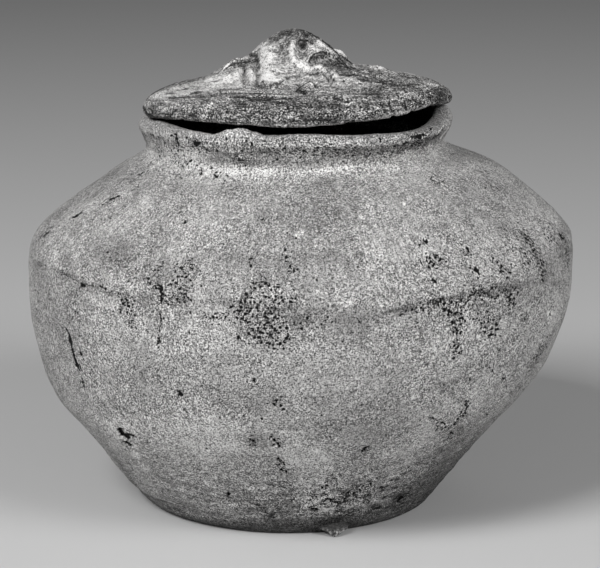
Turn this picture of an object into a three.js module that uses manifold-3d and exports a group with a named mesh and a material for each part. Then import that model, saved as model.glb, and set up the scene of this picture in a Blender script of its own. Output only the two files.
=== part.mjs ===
// Covered earthenware vase: a wide-shouldered hand-built jar with a rolled lip,
// and a loose shallow lid with hill-shaped relief applied on top.
// Millimetres, +Z up. The foot stands on z = 0, and the front of the vase faces -Y.
import * as THREE from 'three';
import { mergeVertices } from 'three/addons/utils/BufferGeometryUtils.js';
import Module from 'manifold-3d';

const wasm = await Module();
wasm.setup();

// ---------------------------------------------------------------- driving dimensions
const CLEARANCE = 0.3; // between pieces that touch
const BASE_THICKNESS = 10; // the slab that closes the jar
const SEAM_Z = 117; // where the shoulder half is luted onto the lower half
const NECK_Z = 164; // where the neck ring is luted onto the shoulder
const RIM_Z = 183.5; // mean height of the lip's top
const WALL_SEGMENTS = 56;
const RIM_SEGMENTS = 60;
const LID_SEGMENTS = 60;

// Outer wall of the jar: height, radius, sideways shift of that section's centre.
const OUTER = [
  [0, 68.17, -5.25], [3, 71.37, -5.96], [8, 75.17, -6.12], [16, 81.72, -6.33],
  [28, 90.62, -5.88], [42, 101.84, -5.17], [55, 112.46, -4.14], [68, 119.67, -2.09],
  [80, 123.55, -0.95], [90, 126.11, -0.26], [98, 127.25, -0.02], [106, 127.68, 0.05],
  [114, 127.73, 0.21], [122, 127.45, -0.05], [130, 123.44, -1.51], [138, 115.61, -2.28],
  [146, 105.55, -1.86], [153, 95.12, -1.22], [158, 86.28, -3.45], [162, 77.93, -4.5],
  [165, 73.07, -4.32], [168, 69.6, -2.87], [172, 70.04, -1.9], [176, 71.89, -1.7],
  [180, 72.65, -2.2], [184, 70.5, -2.2],
];
// Inner wall of the jar: height, radius.
const INNER = [
  [10, 66], [16, 71.5], [28, 81], [42, 92], [55, 102.5], [68, 110.5], [80, 115], [90, 118],
  [98, 119.3], [106, 119.8], [114, 119.6], [122, 117.5], [130, 111.5], [138, 102.5],
  [146, 92], [153, 81.5], [158, 73.5], [161, 68], [164, 64.2], [168, 62.2], [176, 62.2],
  [184, 63.5],
];
// The jar leans: rise per millimetre towards +X, by height.
const LEAN = [[0, 0], [117, 0.0325], [158, 0.044], [168, 0.04], [176, 0.03], [184, 0.028]];
// Height of the lip's top around the mouth (degrees from +X, front at -90).
const LIP_TOP = [
  [-180, 181.6], [-165, 181.8], [-154, 183.5], [-146, 183.9], [-136, 182.9], [-128, 182.7],
  [-118, 182.8], [-108, 183.1], [-97, 183.3], [-90, 183.8], [-82, 183.4], [-75, 183],
  [-68, 182.6], [-58, 182.6], [-50, 182.3], [-43, 182.2], [-36, 182.7], [-26, 183.7],
  [-15, 185.3], [0, 185.9], [30, 185.2], [60, 183.8], [90, 182.6], [120, 181.9],
  [150, 181.6], [180, 181.6],
];

// Lid, before it is tilted and warped: profile points as radius, height.
const LID_X = -1.3; // the lid sits a little left of the middle
const LID_TOP_PROFILE = [
  [0, 206.2], [12, 205.8], [20, 205], [28, 203.2], [36, 201.3], [44, 199.7], [50, 198.2], [56, 197],
  [61, 195.8], [65, 194.4], [68, 192.7], [70.4, 191],
];
const LID_EDGE_PROFILE = [[71.7, 189.2], [72.1, 187.3], [71.6, 185.7]];
const LID_UNDER_PROFILE = [
  [70.2, 184.8], [68, 184.6], [65, 185.3], [60, 187.2], [52, 189.6], [44, 191.6], [33, 194], [22, 196], [0, 197.6],
];
const LID_EDGE_UNDERSIDE_Z = 184.6;
const LID_TILT = [0.03, -0.022]; // rise per millimetre along X and Y
// Height of the lid's lower edge around the vase (degrees from +X).
const LID_EDGE = [
  [-180, 182.2], [-163, 183.5], [-153, 184.7], [-145, 185.5], [-136, 186.3], [-120, 186.6],
  [-104, 186.5], [-97, 186.1], [-89, 186.3], [-82, 186.7], [-75, 187.1], [-67, 187.9],
  [-62, 188.6], [-57, 189.4], [-48, 190], [-38, 190.8], [-30, 191.3], [-20, 190.1],
  [-10, 188.5], [0, 187.2], [30, 186.1], [60, 184.7], [90, 183.3], [120, 182.6],
  [150, 182.3], [180, 182.2],
];

// Relief on the lid: each hill's name, centre, footprint radii (left, right, front, back), rise, steepness.
const HILLS = [
  { name: 'lid_summit', x: -3.9, y: -1, left: 30.8, right: 33.5, front: 40, back: 31, rise: 16, power: 1.95, segments: 36, rings: 8 },
  { name: 'lid_peak_left', x: -30, y: -7, left: 14.7, right: 15, front: 22, back: 17, rise: 6.1, power: 1.35, segments: 24, rings: 4 },
  { name: 'lid_peak_front_right', x: 19, y: -31, left: 22, right: 20, front: 17, back: 17, rise: 3, power: 1.5, segments: 24, rings: 4 },
  { name: 'lid_peak_right', x: 36.5, y: 4, left: 9, right: 11, front: 16, back: 12, rise: 1.7, power: 1.2, segments: 24, rings: 4 },
  { name: 'lid_peak_back_left', x: -17, y: 25, left: 17, right: 17, front: 15, back: 15, rise: 3.4, power: 1.5, segments: 24, rings: 4 },
  { name: 'lid_peak_back_right', x: 12, y: 27, left: 16, right: 15, front: 15, back: 14, rise: 3.4, power: 1.5, segments: 24, rings: 4 },
];

// ---------------------------------------------------------------- interpolation
// Monotone cubic through a table of [position, value, ...] rows.
function curve(rows, column = 1) {
  const x = rows.map((row) => row[0]);
  const y = rows.map((row) => row[column]);
  const n = x.length;
  const h = [];
  const s = [];
  for (let i = 0; i < n - 1; i++) {
    h.push(x[i + 1] - x[i]);
    s.push((y[i + 1] - y[i]) / h[i]);
  }
  const m = new Array(n).fill(0);
  m[0] = s[0];
  m[n - 1] = s[n - 2];
  for (let i = 1; i < n - 1; i++) {
    if (s[i - 1] * s[i] > 0) {
      const w1 = 2 * h[i] + h[i - 1];
      const w2 = h[i] + 2 * h[i - 1];
      m[i] = (w1 + w2) / (w1 / s[i - 1] + w2 / s[i]);
    }
  }
  return (v) => {
    if (v <= x[0]) return y[0];
    if (v >= x[n - 1]) return y[n - 1];
    let i = 0;
    while (v > x[i + 1]) i++;
    const t = (v - x[i]) / h[i];
    const t2 = t * t;
    const t3 = t2 * t;
    return (2 * t3 - 3 * t2 + 1) * y[i] + (t3 - 2 * t2 + t) * h[i] * m[i]
      + (3 * t2 - 2 * t3) * y[i + 1] + (t3 - t2) * h[i] * m[i + 1];
  };
}

// Straight lines through a table of [position, value] rows.
function polyline(rows) {
  return (v) => {
    if (v <= rows[0][0]) return rows[0][1];
    for (let i = 0; i < rows.length - 1; i++) {
      const [a, p] = rows[i];
      const [b, q] = rows[i + 1];
      if (v <= b) return p + ((q - p) * (v - a)) / (b - a);
    }
    return rows[rows.length - 1][1];
  };
}

const smooth = (t) => {
  const c = Math.min(1, Math.max(0, t));
  return c * c * (3 - 2 * c);
};
const degrees = (x, y) => (Math.atan2(y, x) * 180) / Math.PI;

const outerRadius = curve(OUTER, 1);
const sectionShift = curve(OUTER, 2);
const innerRadius = curve(INNER, 1);
const lean = polyline(LEAN);
const lipTop = curve(LIP_TOP);
const lidEdge = curve(LID_EDGE);
const lidTop = polyline(LID_TOP_PROFILE);

// ---------------------------------------------------------------- solids
// One closed body: shared corners merged, slivers dropped, faces turned outwards.
function weld(geometry) {
  const bare = geometry.clone();
  bare.deleteAttribute('normal');
  bare.deleteAttribute('uv');
  const merged = mergeVertices(bare, 1e-4);
  const p = merged.getAttribute('position');
  const old = merged.getIndex().array;
  const kept = [];
  let volume = 0;
  const a = new THREE.Vector3();
  const b = new THREE.Vector3();
  const c = new THREE.Vector3();
  for (let i = 0; i < old.length; i += 3) {
    const [u, v, w] = [old[i], old[i + 1], old[i + 2]];
    if (u === v || v === w || w === u) continue;
    kept.push(u, v, w);
    a.fromBufferAttribute(p, u);
    b.fromBufferAttribute(p, v);
    c.fromBufferAttribute(p, w);
    volume += a.dot(b.cross(c));
  }
  if (volume < 0) {
    for (let i = 0; i < kept.length; i += 3) [kept[i], kept[i + 1]] = [kept[i + 1], kept[i]];
  }
  merged.setIndex(kept);
  return merged;
}

// Moves every vertex; the function gets a vector and changes it.
function warp(geometry, move) {
  const p = geometry.getAttribute('position');
  const v = new THREE.Vector3();
  for (let i = 0; i < p.count; i++) {
    v.fromBufferAttribute(p, i);
    move(v);
    p.setXYZ(i, v.x, v.y, v.z);
  }
  return geometry;
}

// A profile of [radius, height] points turned about the vertical axis.
function turned(profile, segments) {
  const points = profile.map(([r, z]) => new THREE.Vector2(r, z));
  return weld(new THREE.LatheGeometry(points, segments).rotateX(Math.PI / 2));
}

function toSolid(geometry) {
  return new wasm.Manifold(new wasm.Mesh({
    numProp: 3,
    vertProperties: new Float32Array(geometry.getAttribute('position').array),
    triVerts: new Uint32Array(geometry.getIndex().array),
  }));
}

function toGeometry(solid) {
  const mesh = solid.getMesh();
  const geometry = new THREE.BufferGeometry();
  geometry.setAttribute('position', new THREE.BufferAttribute(new Float32Array(mesh.vertProperties), 3));
  geometry.setIndex(new THREE.BufferAttribute(new Uint32Array(mesh.triVerts), 1));
  return weld(geometry);
}

// ---------------------------------------------------------------- jar
// Shifts a turned section sideways, leans it, and follows the uneven lip.
function shapeJar(v) {
  const z = v.z;
  const angle = degrees(v.x, v.y);
  v.x += sectionShift(z);
  const leaned = v.x * lean(z);
  const lipRise = lipTop(angle) - (RIM_Z + 69 * Math.cos((angle * Math.PI) / 180) * lean(RIM_Z));
  v.z = z + leaned + lipRise * smooth((z - 171) / (RIM_Z - 171));
}

// A ring of the jar's wall between two heights.
function wallRing(outerHeights, innerHeights, segments) {
  const profile = [
    ...outerHeights.map((z) => [outerRadius(z), z]),
    ...innerHeights.slice().reverse().map((z) => [innerRadius(z), z]),
  ];
  profile.push(profile[0].slice());
  return warp(turned(profile, segments), shapeJar);
}

const half = CLEARANCE / 2;
const wallStart = BASE_THICKNESS + CLEARANCE;

const baseSlab = warp(turned([
  [0, 0], [outerRadius(0), 0], [outerRadius(3), 3], [outerRadius(BASE_THICKNESS), BASE_THICKNESS],
  [0, BASE_THICKNESS],
], WALL_SEGMENTS), shapeJar);

const lowerWall = wallRing(
  [wallStart, 22, 34, 46, 57, 67, 77, 88, 98, 108, SEAM_Z - half],
  [wallStart, 22, 34, 46, 57, 67, 80, 98, SEAM_Z - half],
  WALL_SEGMENTS,
);
const upperWall = wallRing(
  [SEAM_Z + half, 122, 126, 131, 138, 146, 153, 159, NECK_Z - half],
  [SEAM_Z + half, 124, 131, 138, 146, 153, 159, NECK_Z - half],
  WALL_SEGMENTS,
);

const neckProfile = [
  [outerRadius(NECK_Z + half), NECK_Z + half], [outerRadius(166), 166], [outerRadius(168.5), 168.5],
  [outerRadius(172), 172], [outerRadius(175), 175], [72.6, 178], [72.7, 180.3], [71.2, 182.4],
  [69, 183.4], [66.4, 183.5], [64.4, 182.6], [63.2, 180], [62.4, 174], [62.3, 168],
  [innerRadius(NECK_Z + half), NECK_Z + half],
];
neckProfile.push(neckProfile[0].slice());
const neckRim = warp(turned(neckProfile, RIM_SEGMENTS), shapeJar);

// The same ring grown by the clearance cuts whatever sits on the lip.
const grownNeckProfile = [
  [79, 160], [74, 166], [71.4, 168.5], [71.6, 172], [72.6, 175], [73.3, 178], [73.4, 180.8],
  [71.7, 183], [69.1, 184], [66.2, 184.1], [63.8, 183.1], [62.4, 180], [60, 174], [60, 160], [79, 160],
];
const grownNeck = warp(turned(grownNeckProfile, RIM_SEGMENTS), (v) => {
  const angle = degrees(v.x, v.y);
  v.x += sectionShift(v.z);
  const rise = lipTop(angle) - (RIM_Z + 69 * Math.cos((angle * Math.PI) / 180) * lean(RIM_Z));
  v.z += v.x * lean(v.z) + rise * smooth((v.z - 171) / (RIM_Z - 171));
});

// A lump of clay fired onto the front of the lip.
const lumpAngle = (-112 * Math.PI) / 180;
const lump = weld(new THREE.SphereGeometry(1, 20, 12));
lump.scale(12.5, 4.6, 4.3);
lump.rotateZ(lumpAngle + Math.PI / 2);
lump.translate(68 * Math.cos(lumpAngle) - 2, 68 * Math.sin(lumpAngle), 181.65);
const rimLump = toGeometry(toSolid(lump).subtract(toSolid(grownNeck)));

// A bead of glassy run-off at the front of the foot.
const bead = weld(new THREE.SphereGeometry(1, 16, 10));
bead.scale(4.4, 3.4, 2.7);
bead.translate(16.2, -70.8, 2.85);
const grownSlab = warp(turned([
  [0, -2], [outerRadius(0) + 0.5, -2], [outerRadius(0) + 0.5, 0], [outerRadius(3) + 0.5, 3],
  [outerRadius(BASE_THICKNESS) + 0.5, BASE_THICKNESS], [0, BASE_THICKNESS],
], WALL_SEGMENTS), (v) => { v.x += sectionShift(v.z); });
const footBead = toGeometry(toSolid(bead).subtract(toSolid(grownSlab)));

// ---------------------------------------------------------------- lid
const tiltAt = (x, y) => LID_TILT[0] * (x - LID_X) + LID_TILT[1] * y;

// How far the lid's edge is bent up or down, fading towards the middle.
function bendAt(x, y) {
  const r = Math.hypot(x - LID_X, y);
  if (r < 1) return 0;
  const edge = lidEdge(degrees(x - LID_X, y)) - LID_EDGE_UNDERSIDE_Z - (tiltAt(x, y) * 70) / r;
  return edge * Math.min(1, r / 70) ** 3;
}

const lidSurface = (x, y) => lidTop(Math.hypot(x - LID_X, y)) + tiltAt(x, y) + bendAt(x, y);

const lidProfile = [...LID_TOP_PROFILE, ...LID_EDGE_PROFILE, ...LID_UNDER_PROFILE];
const lidPlate = warp(turned(lidProfile, LID_SEGMENTS), (v) => {
  v.x += LID_X;
  v.z += tiltAt(v.x, v.y) + bendAt(v.x, v.y);
});

// Distance from a hill's centre to its border in a direction: its own footprint,
// cut back halfway (weighted by size) to each neighbouring hill.
function hillReach(hill, angle) {
  const cos = Math.cos(angle);
  const sin = Math.sin(angle);
  const rx = cos < 0 ? hill.left : hill.right;
  const ry = sin < 0 ? hill.front : hill.back;
  let reach = 1 / Math.hypot(cos / rx, sin / ry);
  for (const other of HILLS) {
    if (other === hill) continue;
    const dx = other.x - hill.x;
    const dy = other.y - hill.y;
    const gap = Math.hypot(dx, dy);
    const along = (cos * dx + sin * dy) / gap;
    if (along <= 0.02) continue;
    const weight = (h) => Math.sqrt(h.left + h.right + h.front + h.back) * (h.name === 'lid_summit' ? 1.25 : 1);
    const border = (gap * weight(hill)) / (weight(hill) + weight(other)) - CLEARANCE / 2 - 0.1;
    reach = Math.min(reach, border / along);
  }
  return reach;
}

// A hill follows the lid's surface below and swells to its rise in the middle.
function hillSolid(hill) {
  const steps = Array.from({ length: hill.rings + 1 }, (_, i) => i / hill.rings);
  const profile = [
    ...steps.filter((_, i) => i % 2 === 0 || i === hill.rings).map((t) => [t, 0]),
    ...steps.slice().reverse().map((t) => [t, 1]),
  ];
  const geometry = turned(profile, hill.segments);
  return warp(geometry, (v) => {
    const t = Math.hypot(v.x, v.y);
    const angle = Math.atan2(v.y, v.x);
    const upper = v.z > 0.5;
    const reach = t > 0 ? hillReach(hill, angle) : 0;
    v.x = hill.x + t * reach * Math.cos(angle);
    v.y = hill.y + t * reach * Math.sin(angle);
    const rx = Math.cos(angle) < 0 ? hill.left : hill.right;
    const ry = Math.sin(angle) < 0 ? hill.front : hill.back;
    const q = Math.min(1, (t * reach * Math.hypot(Math.cos(angle) / rx, Math.sin(angle) / ry)) ** 2);
    v.z = lidSurface(v.x, v.y) + CLEARANCE + 0.12 + (upper ? 0.7 + (hill.rise - 0.7) * (1 - q) ** hill.power : 0);
  });
}

// ---------------------------------------------------------------- assembly
const clay = (colour, roughness) => new THREE.MeshStandardMaterial({
  color: colour, roughness, metalness: 0, flatShading: true,
});

function piece(name, geometry, material) {
  geometry.computeVertexNormals();
  const mesh = new THREE.Mesh(geometry, material);
  mesh.name = name;
  return mesh;
}

const vase = new THREE.Group();
const jar = new THREE.Group();
const lid = new THREE.Group();
vase.add(jar, lid);

jar.add(
  piece('base_slab', baseSlab, clay(0x6b6965, 0.9)),
  piece('lower_wall', lowerWall, clay(0x9b9893, 0.88)),
  piece('upper_wall', upperWall, clay(0xa5a29d, 0.86)),
  piece('neck_rim', neckRim, clay(0xa09d97, 0.88)),
  piece('rim_lump', rimLump, clay(0x8f8c87, 0.9)),
  piece('foot_drip', footBead, clay(0x8c8b86, 0.3)),
);
lid.add(
  piece('lid_plate', lidPlate, clay(0x75736f, 0.9)),
  ...HILLS.map((hill, i) => piece(hill.name, hillSolid(hill), clay([0x9d9a95, 0x918e89, 0x807d79, 0x7b7874, 0x7b7874, 0x7b7874][i], 0.88))),
);

export default vase;
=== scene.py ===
import math

import bpy
import numpy as np
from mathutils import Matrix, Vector


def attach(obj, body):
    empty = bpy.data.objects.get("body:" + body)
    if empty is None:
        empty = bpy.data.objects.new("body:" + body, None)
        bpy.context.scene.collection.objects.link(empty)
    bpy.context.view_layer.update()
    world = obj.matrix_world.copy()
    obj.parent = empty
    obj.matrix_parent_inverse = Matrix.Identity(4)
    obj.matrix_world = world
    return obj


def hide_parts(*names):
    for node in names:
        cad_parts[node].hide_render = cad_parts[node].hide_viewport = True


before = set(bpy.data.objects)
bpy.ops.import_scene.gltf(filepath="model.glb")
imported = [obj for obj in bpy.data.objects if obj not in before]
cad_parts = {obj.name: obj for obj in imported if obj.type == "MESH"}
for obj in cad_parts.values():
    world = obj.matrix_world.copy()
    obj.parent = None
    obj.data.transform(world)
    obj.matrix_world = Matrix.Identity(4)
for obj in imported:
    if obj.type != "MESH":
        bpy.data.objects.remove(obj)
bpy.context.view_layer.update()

MM = 0.001

# ------------------------------------------------------------------ camera
# About a metre away, looking 12.9 degrees down.
cam_data = bpy.data.cameras.new("camera")
cam_data.lens = 129.65
cam_data.sensor_width = 36.0
cam_data.sensor_fit = "HORIZONTAL"
cam_data.clip_start = 0.05
cam_data.clip_end = 60.0
camera = bpy.data.objects.new("camera", cam_data)
camera.location = (0.0, -1.0, 0.32997)
camera.rotation_euler = (math.radians(90.0 - 12.922), 0.0, 0.0)
bpy.context.scene.collection.objects.link(camera)
bpy.context.scene.camera = camera

# ------------------------------------------------------------------ tables, in mm
# Outer wall: height, radius, sideways shift of the section.
OUTER = np.array([
    [0, 68.17, -5.25], [3, 71.37, -5.96], [8, 75.17, -6.12], [16, 81.72, -6.33],
    [28, 90.62, -5.88], [42, 101.84, -5.17], [55, 112.46, -4.14], [68, 119.67, -2.09],
    [80, 123.55, -0.95], [90, 126.11, -0.26], [98, 127.25, -0.02], [106, 127.68, 0.05],
    [114, 127.73, 0.21], [122, 127.45, -0.05], [130, 123.44, -1.51], [138, 115.61, -2.28],
    [146, 105.55, -1.86], [153, 95.12, -1.22], [158, 86.28, -3.45], [162, 77.93, -4.5],
    [165, 73.07, -4.32], [168, 69.6, -2.87], [172, 70.04, -1.9], [176, 71.89, -1.7],
    [180, 72.65, -2.2], [184, 70.5, -2.2]])
INNER = np.array([
    [10, 66], [16, 71.5], [28, 81], [42, 92], [55, 102.5], [68, 110.5], [80, 115], [90, 118],
    [98, 119.3], [106, 119.8], [114, 119.6], [122, 117.5], [130, 111.5], [138, 102.5],
    [146, 92], [153, 81.5], [158, 73.5], [161, 68], [164, 64.2], [168, 62.2], [176, 62.2],
    [184, 63.5]])
LEAN = np.array([[0, 0], [117, 0.0325], [158, 0.044], [168, 0.04], [176, 0.03], [184, 0.028]])
BASE_Z, SEAM_Z, NECK_Z, RIM_Z = 10.0, 117.0, 164.0, 183.5
LIP_TOP = np.array([
    [-180, 181.6], [-165, 181.8], [-154, 182.9], [-146, 182.5], [-136, 181.8], [-128, 181.6],
    [-118, 181.3], [-108, 182.4], [-97, 182.3], [-90, 182.9], [-82, 182.7], [-75, 182.2],
    [-68, 181.6], [-58, 181.3], [-50, 181.1], [-43, 181.0], [-36, 181.1], [-26, 181.7],
    [-15, 183.7], [0, 185.9], [30, 185.2], [60, 183.8], [90, 182.6], [120, 181.9],
    [150, 181.6], [180, 181.6]])
# The lid's domed top (radius, height) and its rounded edge down to the underside.
LID_X = -1.3
LID_TOP = np.array([
    [0, 206.2], [12, 205.8], [20, 205.0], [28, 203.2], [36, 201.3], [44, 199.7], [50, 198.2], [56, 197.0],
    [61, 195.8], [65, 194.4], [68, 192.7], [70.4, 191.0], [71.5, 189.2], [72.0, 187.5]])
LID_EDGE = np.array([
    [-180, 182.2], [-163, 183.5], [-153, 184.7], [-145, 185.5], [-136, 186.3], [-120, 186.6],
    [-104, 186.5], [-97, 186.1], [-89, 186.3], [-82, 186.7], [-75, 187.1], [-67, 187.9],
    [-62, 187.9], [-57, 188.3], [-48, 189.1], [-38, 190.3], [-30, 190.8], [-20, 189.8],
    [-10, 188.5], [0, 187.2], [30, 186.1], [60, 184.7], [90, 183.3], [120, 182.6],
    [150, 182.3], [180, 182.2]])


# ------------------------------------------------------------------ number helpers
def pchip(table, column=1):
    """Monotone cubic through a table's rows."""
    x, y = table[:, 0].astype(float), table[:, column].astype(float)
    h = np.diff(x)
    s = np.diff(y) / h
    m = np.zeros_like(y)
    m[0], m[-1] = s[0], s[-1]
    for i in range(1, len(x) - 1):
        if s[i - 1] * s[i] > 0:
            w1, w2 = 2 * h[i] + h[i - 1], h[i] + 2 * h[i - 1]
            m[i] = (w1 + w2) / (w1 / s[i - 1] + w2 / s[i])

    def f(v):
        v = np.clip(v, x[0], x[-1])
        i = np.clip(np.searchsorted(x, v, side="right") - 1, 0, len(x) - 2)
        t = (v - x[i]) / h[i]
        return ((2 * t**3 - 3 * t**2 + 1) * y[i] + (t**3 - 2 * t**2 + t) * h[i] * m[i]
                + (3 * t**2 - 2 * t**3) * y[i + 1] + (t**3 - t**2) * h[i] * m[i + 1])
    return f


def smoothstep(t):
    t = np.clip(t, 0, 1)
    return t * t * (3 - 2 * t)


def gauss(d, w):
    return np.exp(-(d / w) ** 2)


def lattice_noise(p, seed):
    """Gradient noise at points p, an (N, 3) array; about -0.8 to 0.8."""
    cell = np.floor(p)
    f = p - cell
    c = cell.astype(np.int64)
    u = f * f * f * (f * (f * 6 - 15) + 10)
    total = np.zeros(len(p))
    for dx in (0, 1):
        wx = u[:, 0] if dx else 1 - u[:, 0]
        for dy in (0, 1):
            wxy = wx * (u[:, 1] if dy else 1 - u[:, 1])
            for dz in (0, 1):
                w = wxy * (u[:, 2] if dz else 1 - u[:, 2])
                h = ((c[:, 0] + dx) * 374761393 + (c[:, 1] + dy) * 668265263
                     + (c[:, 2] + dz) * 1274126177 + seed * 974634777) & 0xFFFFFFFF
                h = ((h ^ (h >> 13)) * 1103515245) & 0xFFFFFFFF
                h = ((h ^ (h >> 16)) * 2654435761) & 0xFFFFFFFF
                h ^= h >> 15
                g = ((h & 1023) / 511.5 - 1) * (f[:, 0] - dx)
                g += (((h >> 10) & 1023) / 511.5 - 1) * (f[:, 1] - dy)
                g += (((h >> 20) & 1023) / 511.5 - 1) * (f[:, 2] - dz)
                total += w * g
    return total * 1.25


def fbm(p, size, octaves=3, seed=0, gain=0.5):
    total = np.zeros(len(p))
    amp = 1.0
    for k in range(octaves):
        total += amp * lattice_noise(p / size, seed + 31 * k)
        size *= 0.5
        amp *= gain
    return total


outer_r, outer_cx, inner_r = pchip(OUTER, 1), pchip(OUTER, 2), pchip(INNER, 1)
lip_top, lid_edge, lid_top_r = pchip(LIP_TOP), pchip(LID_EDGE), pchip(LID_TOP)


def lean(z):
    return np.interp(z, LEAN[:, 0], LEAN[:, 1])


def place_jar(theta, r, z):
    """Nominal angle (radians), radius and height to the lopsided jar, in mm."""
    x = r * np.cos(theta) + outer_cx(z)
    y = r * np.sin(theta)
    rise = lip_top(np.degrees(theta)) - (RIM_Z + 69 * np.cos(theta) * 0.0281)
    return np.stack([x, y, z + x * lean(z) + rise * smoothstep((z - 171) / (RIM_Z - 171))], -1)


def wrap(angle):
    return (angle + 180) % 360 - 180


# The surface's marks are set down where they lie in the front view, 600 wide and 568 high.
PITCH, FOCAL, EYE_Z = math.radians(12.922), 2160.8, 329.97


def seen(co):
    """Where points lie in the front view: across, down."""
    y, z = co[:, 1] + 1000, co[:, 2] - EYE_Z
    depth = y * math.cos(PITCH) - z * math.sin(PITCH)
    up = y * math.sin(PITCH) + z * math.cos(PITCH)
    return 300 + FOCAL * co[:, 0] / depth, 284 - FOCAL * up / depth


def marks_at(co, marks, seed, wobble=1.0, spread=1.0):
    """Sum of soft elliptical marks (across, down, half-length, half-width, turn in degrees, amount) on points.

    The far half of the object carries the same marks turned round by 180 degrees and more loosely shaped.
    """
    total = np.zeros(len(co))
    front = smoothstep((14 - co[:, 1]) / 28)
    for half, weight in ((0, front), (1, 1 - front)):
        on = weight > 0.001
        if not on.any():
            continue
        p = co[on] * (np.array([-1, -1, 1]) if half else 1)
        x, y = seen(p)
        amount = wobble * (1 + 2.2 * half)
        x = x + amount * (3.0 * lattice_noise(p / 9, seed + half) + 1.4 * lattice_noise(p / 3.6, seed + 7 + half))
        y = y + amount * (3.0 * lattice_noise(p / 9, seed + 14 + half) + 1.4 * lattice_noise(p / 3.6, seed + 21 + half))
        part = np.zeros(len(p))
        for mx, my, a, b, turn, s in marks:
            c, w = math.cos(math.radians(turn)), math.sin(math.radians(turn))
            dx, dy = x - mx, y - my
            q = ((dx * c + dy * w) / (a * spread)) ** 2 + ((dy * c - dx * w) / (b * spread)) ** 2
            part += s * np.exp(-q)
        total[on] += part * weight[on] * (0.75 if half else 1.0)
    return total


# ------------------------------------------------------------------ mesh helpers
def make_mesh(name, co_mm, quads, tris=None, attributes=None, sharp=70):
    """A mesh object from numpy arrays; co in mm. Faces are turned outwards."""
    co = co_mm * MM
    quads = np.asarray(quads, np.int64).reshape(-1, 4)
    tris = np.zeros((0, 3), np.int64) if tris is None else np.asarray(tris, np.int64).reshape(-1, 3)
    t = np.concatenate([quads[:, [0, 1, 2]], quads[:, [0, 2, 3]], tris])
    a, b, c = co[t[:, 0]], co[t[:, 1]], co[t[:, 2]]
    if np.einsum("ij,ij->i", a - co[0], np.cross(b - co[0], c - co[0])).sum() < 0:
        quads, tris = quads[:, ::-1], tris[:, ::-1]
    mesh = bpy.data.meshes.new(name)
    mesh.vertices.add(len(co))
    mesh.vertices.foreach_set("co", co.astype(np.float32).ravel())
    loops = np.concatenate([quads.ravel(), tris.ravel()])
    mesh.loops.add(len(loops))
    mesh.loops.foreach_set("vertex_index", loops.astype(np.int32))
    starts = np.concatenate([np.arange(len(quads)) * 4, len(quads) * 4 + np.arange(len(tris)) * 3])
    mesh.polygons.add(len(starts))
    mesh.polygons.foreach_set("loop_start", starts.astype(np.int32))
    mesh.polygons.foreach_set("use_smooth", np.ones(len(starts), bool))
    mesh.update(calc_edges=True)
    mesh.validate()
    for key, value in (attributes or {}).items():
        if key == "flat":
            # the surface unrolled, in mm, cut once: each face keeps to its own side of the cut. z holds the way round.
            at = value[loops]
            u = at[:4 * len(quads), 1].reshape(-1, 4)
            cut = (np.ptp(u, axis=1) > 0.5 * value[0, 2])[:, None] & (u < u.mean(1)[:, None])
            at[:4 * len(quads), 1] = (u + np.where(cut, value[0, 2], 0)).ravel()
            at[:, 2] = 0
            mesh.attributes.new(key, "FLOAT_VECTOR", "CORNER").data.foreach_set("vector", at.astype(np.float32).ravel())
        elif value.ndim == 2:
            mesh.attributes.new(key, "FLOAT_VECTOR", "POINT").data.foreach_set("vector", value.astype(np.float32).ravel())
        else:
            mesh.attributes.new(key, "FLOAT", "POINT").data.foreach_set("value", value.astype(np.float32))
    mesh.set_sharp_from_angle(angle=math.radians(sharp))
    obj = bpy.data.objects.new(name, mesh)
    bpy.context.scene.collection.objects.link(obj)
    return obj


def ring_quads(nj, ni, closed_j=True):
    j = np.arange(nj if closed_j else nj - 1)[:, None]
    i = np.arange(ni)[None, :]
    j2, i2 = (j + 1) % nj, (i + 1) % ni
    return np.stack([j * ni + i, j * ni + i2, j2 * ni + i2, j2 * ni + i], -1).reshape(-1, 4)


def grid_block(nu, nv):
    """Quads of a closed block whose top is an nu by nv grid of points followed by the same for its bottom."""
    n = nu * nv
    i, j = np.meshgrid(np.arange(nu - 1), np.arange(nv - 1), indexing="ij")
    a = (i * nv + j).ravel()
    top = np.stack([a, a + nv, a + nv + 1, a + 1], -1)
    border = np.concatenate([np.arange(nv), np.arange(1, nu) * nv + nv - 1,
                             (nu - 1) * nv + np.arange(nv - 2, -1, -1), np.arange(nu - 2, 0, -1) * nv])
    nxt = np.roll(border, -1)
    side = np.stack([border, nxt, nxt + n, border + n], -1)
    return np.concatenate([top, top[:, ::-1] + n, side])


def fan(ring, centre):
    n = len(ring)
    return np.stack([ring, np.roll(ring, -1), np.full(n, centre)], -1)


def uneven_angles(front, back):
    """Angles in radians, finer over the front 160 degrees than over the rest, and finest about the chip."""
    step = 160 / front
    a = np.concatenate([np.arange(-170, -147, step), np.arange(-147, -130, step * 0.6), np.arange(-130, -10, step)])
    b = np.linspace(-10, 190, back, endpoint=False)
    return np.radians(wrap(np.concatenate([a, b])))


def unrolled(rows_r, rows_z, angles, scale):
    """A map of a turned surface that keeps small shapes round: along the profile, round the axis, the whole way round."""
    run = np.hypot(np.diff(rows_r), np.diff(rows_z)) / np.maximum(0.5 * (rows_r[1:] + rows_r[:-1]), 15)
    along = np.concatenate([[0], np.cumsum(run)]) * scale
    around = np.unwrap(angles) * scale
    return np.stack([np.repeat(along, len(angles)), np.tile(around, len(rows_r)),
                     np.full(len(rows_r) * len(angles), 2 * math.pi * scale)], -1)


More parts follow.
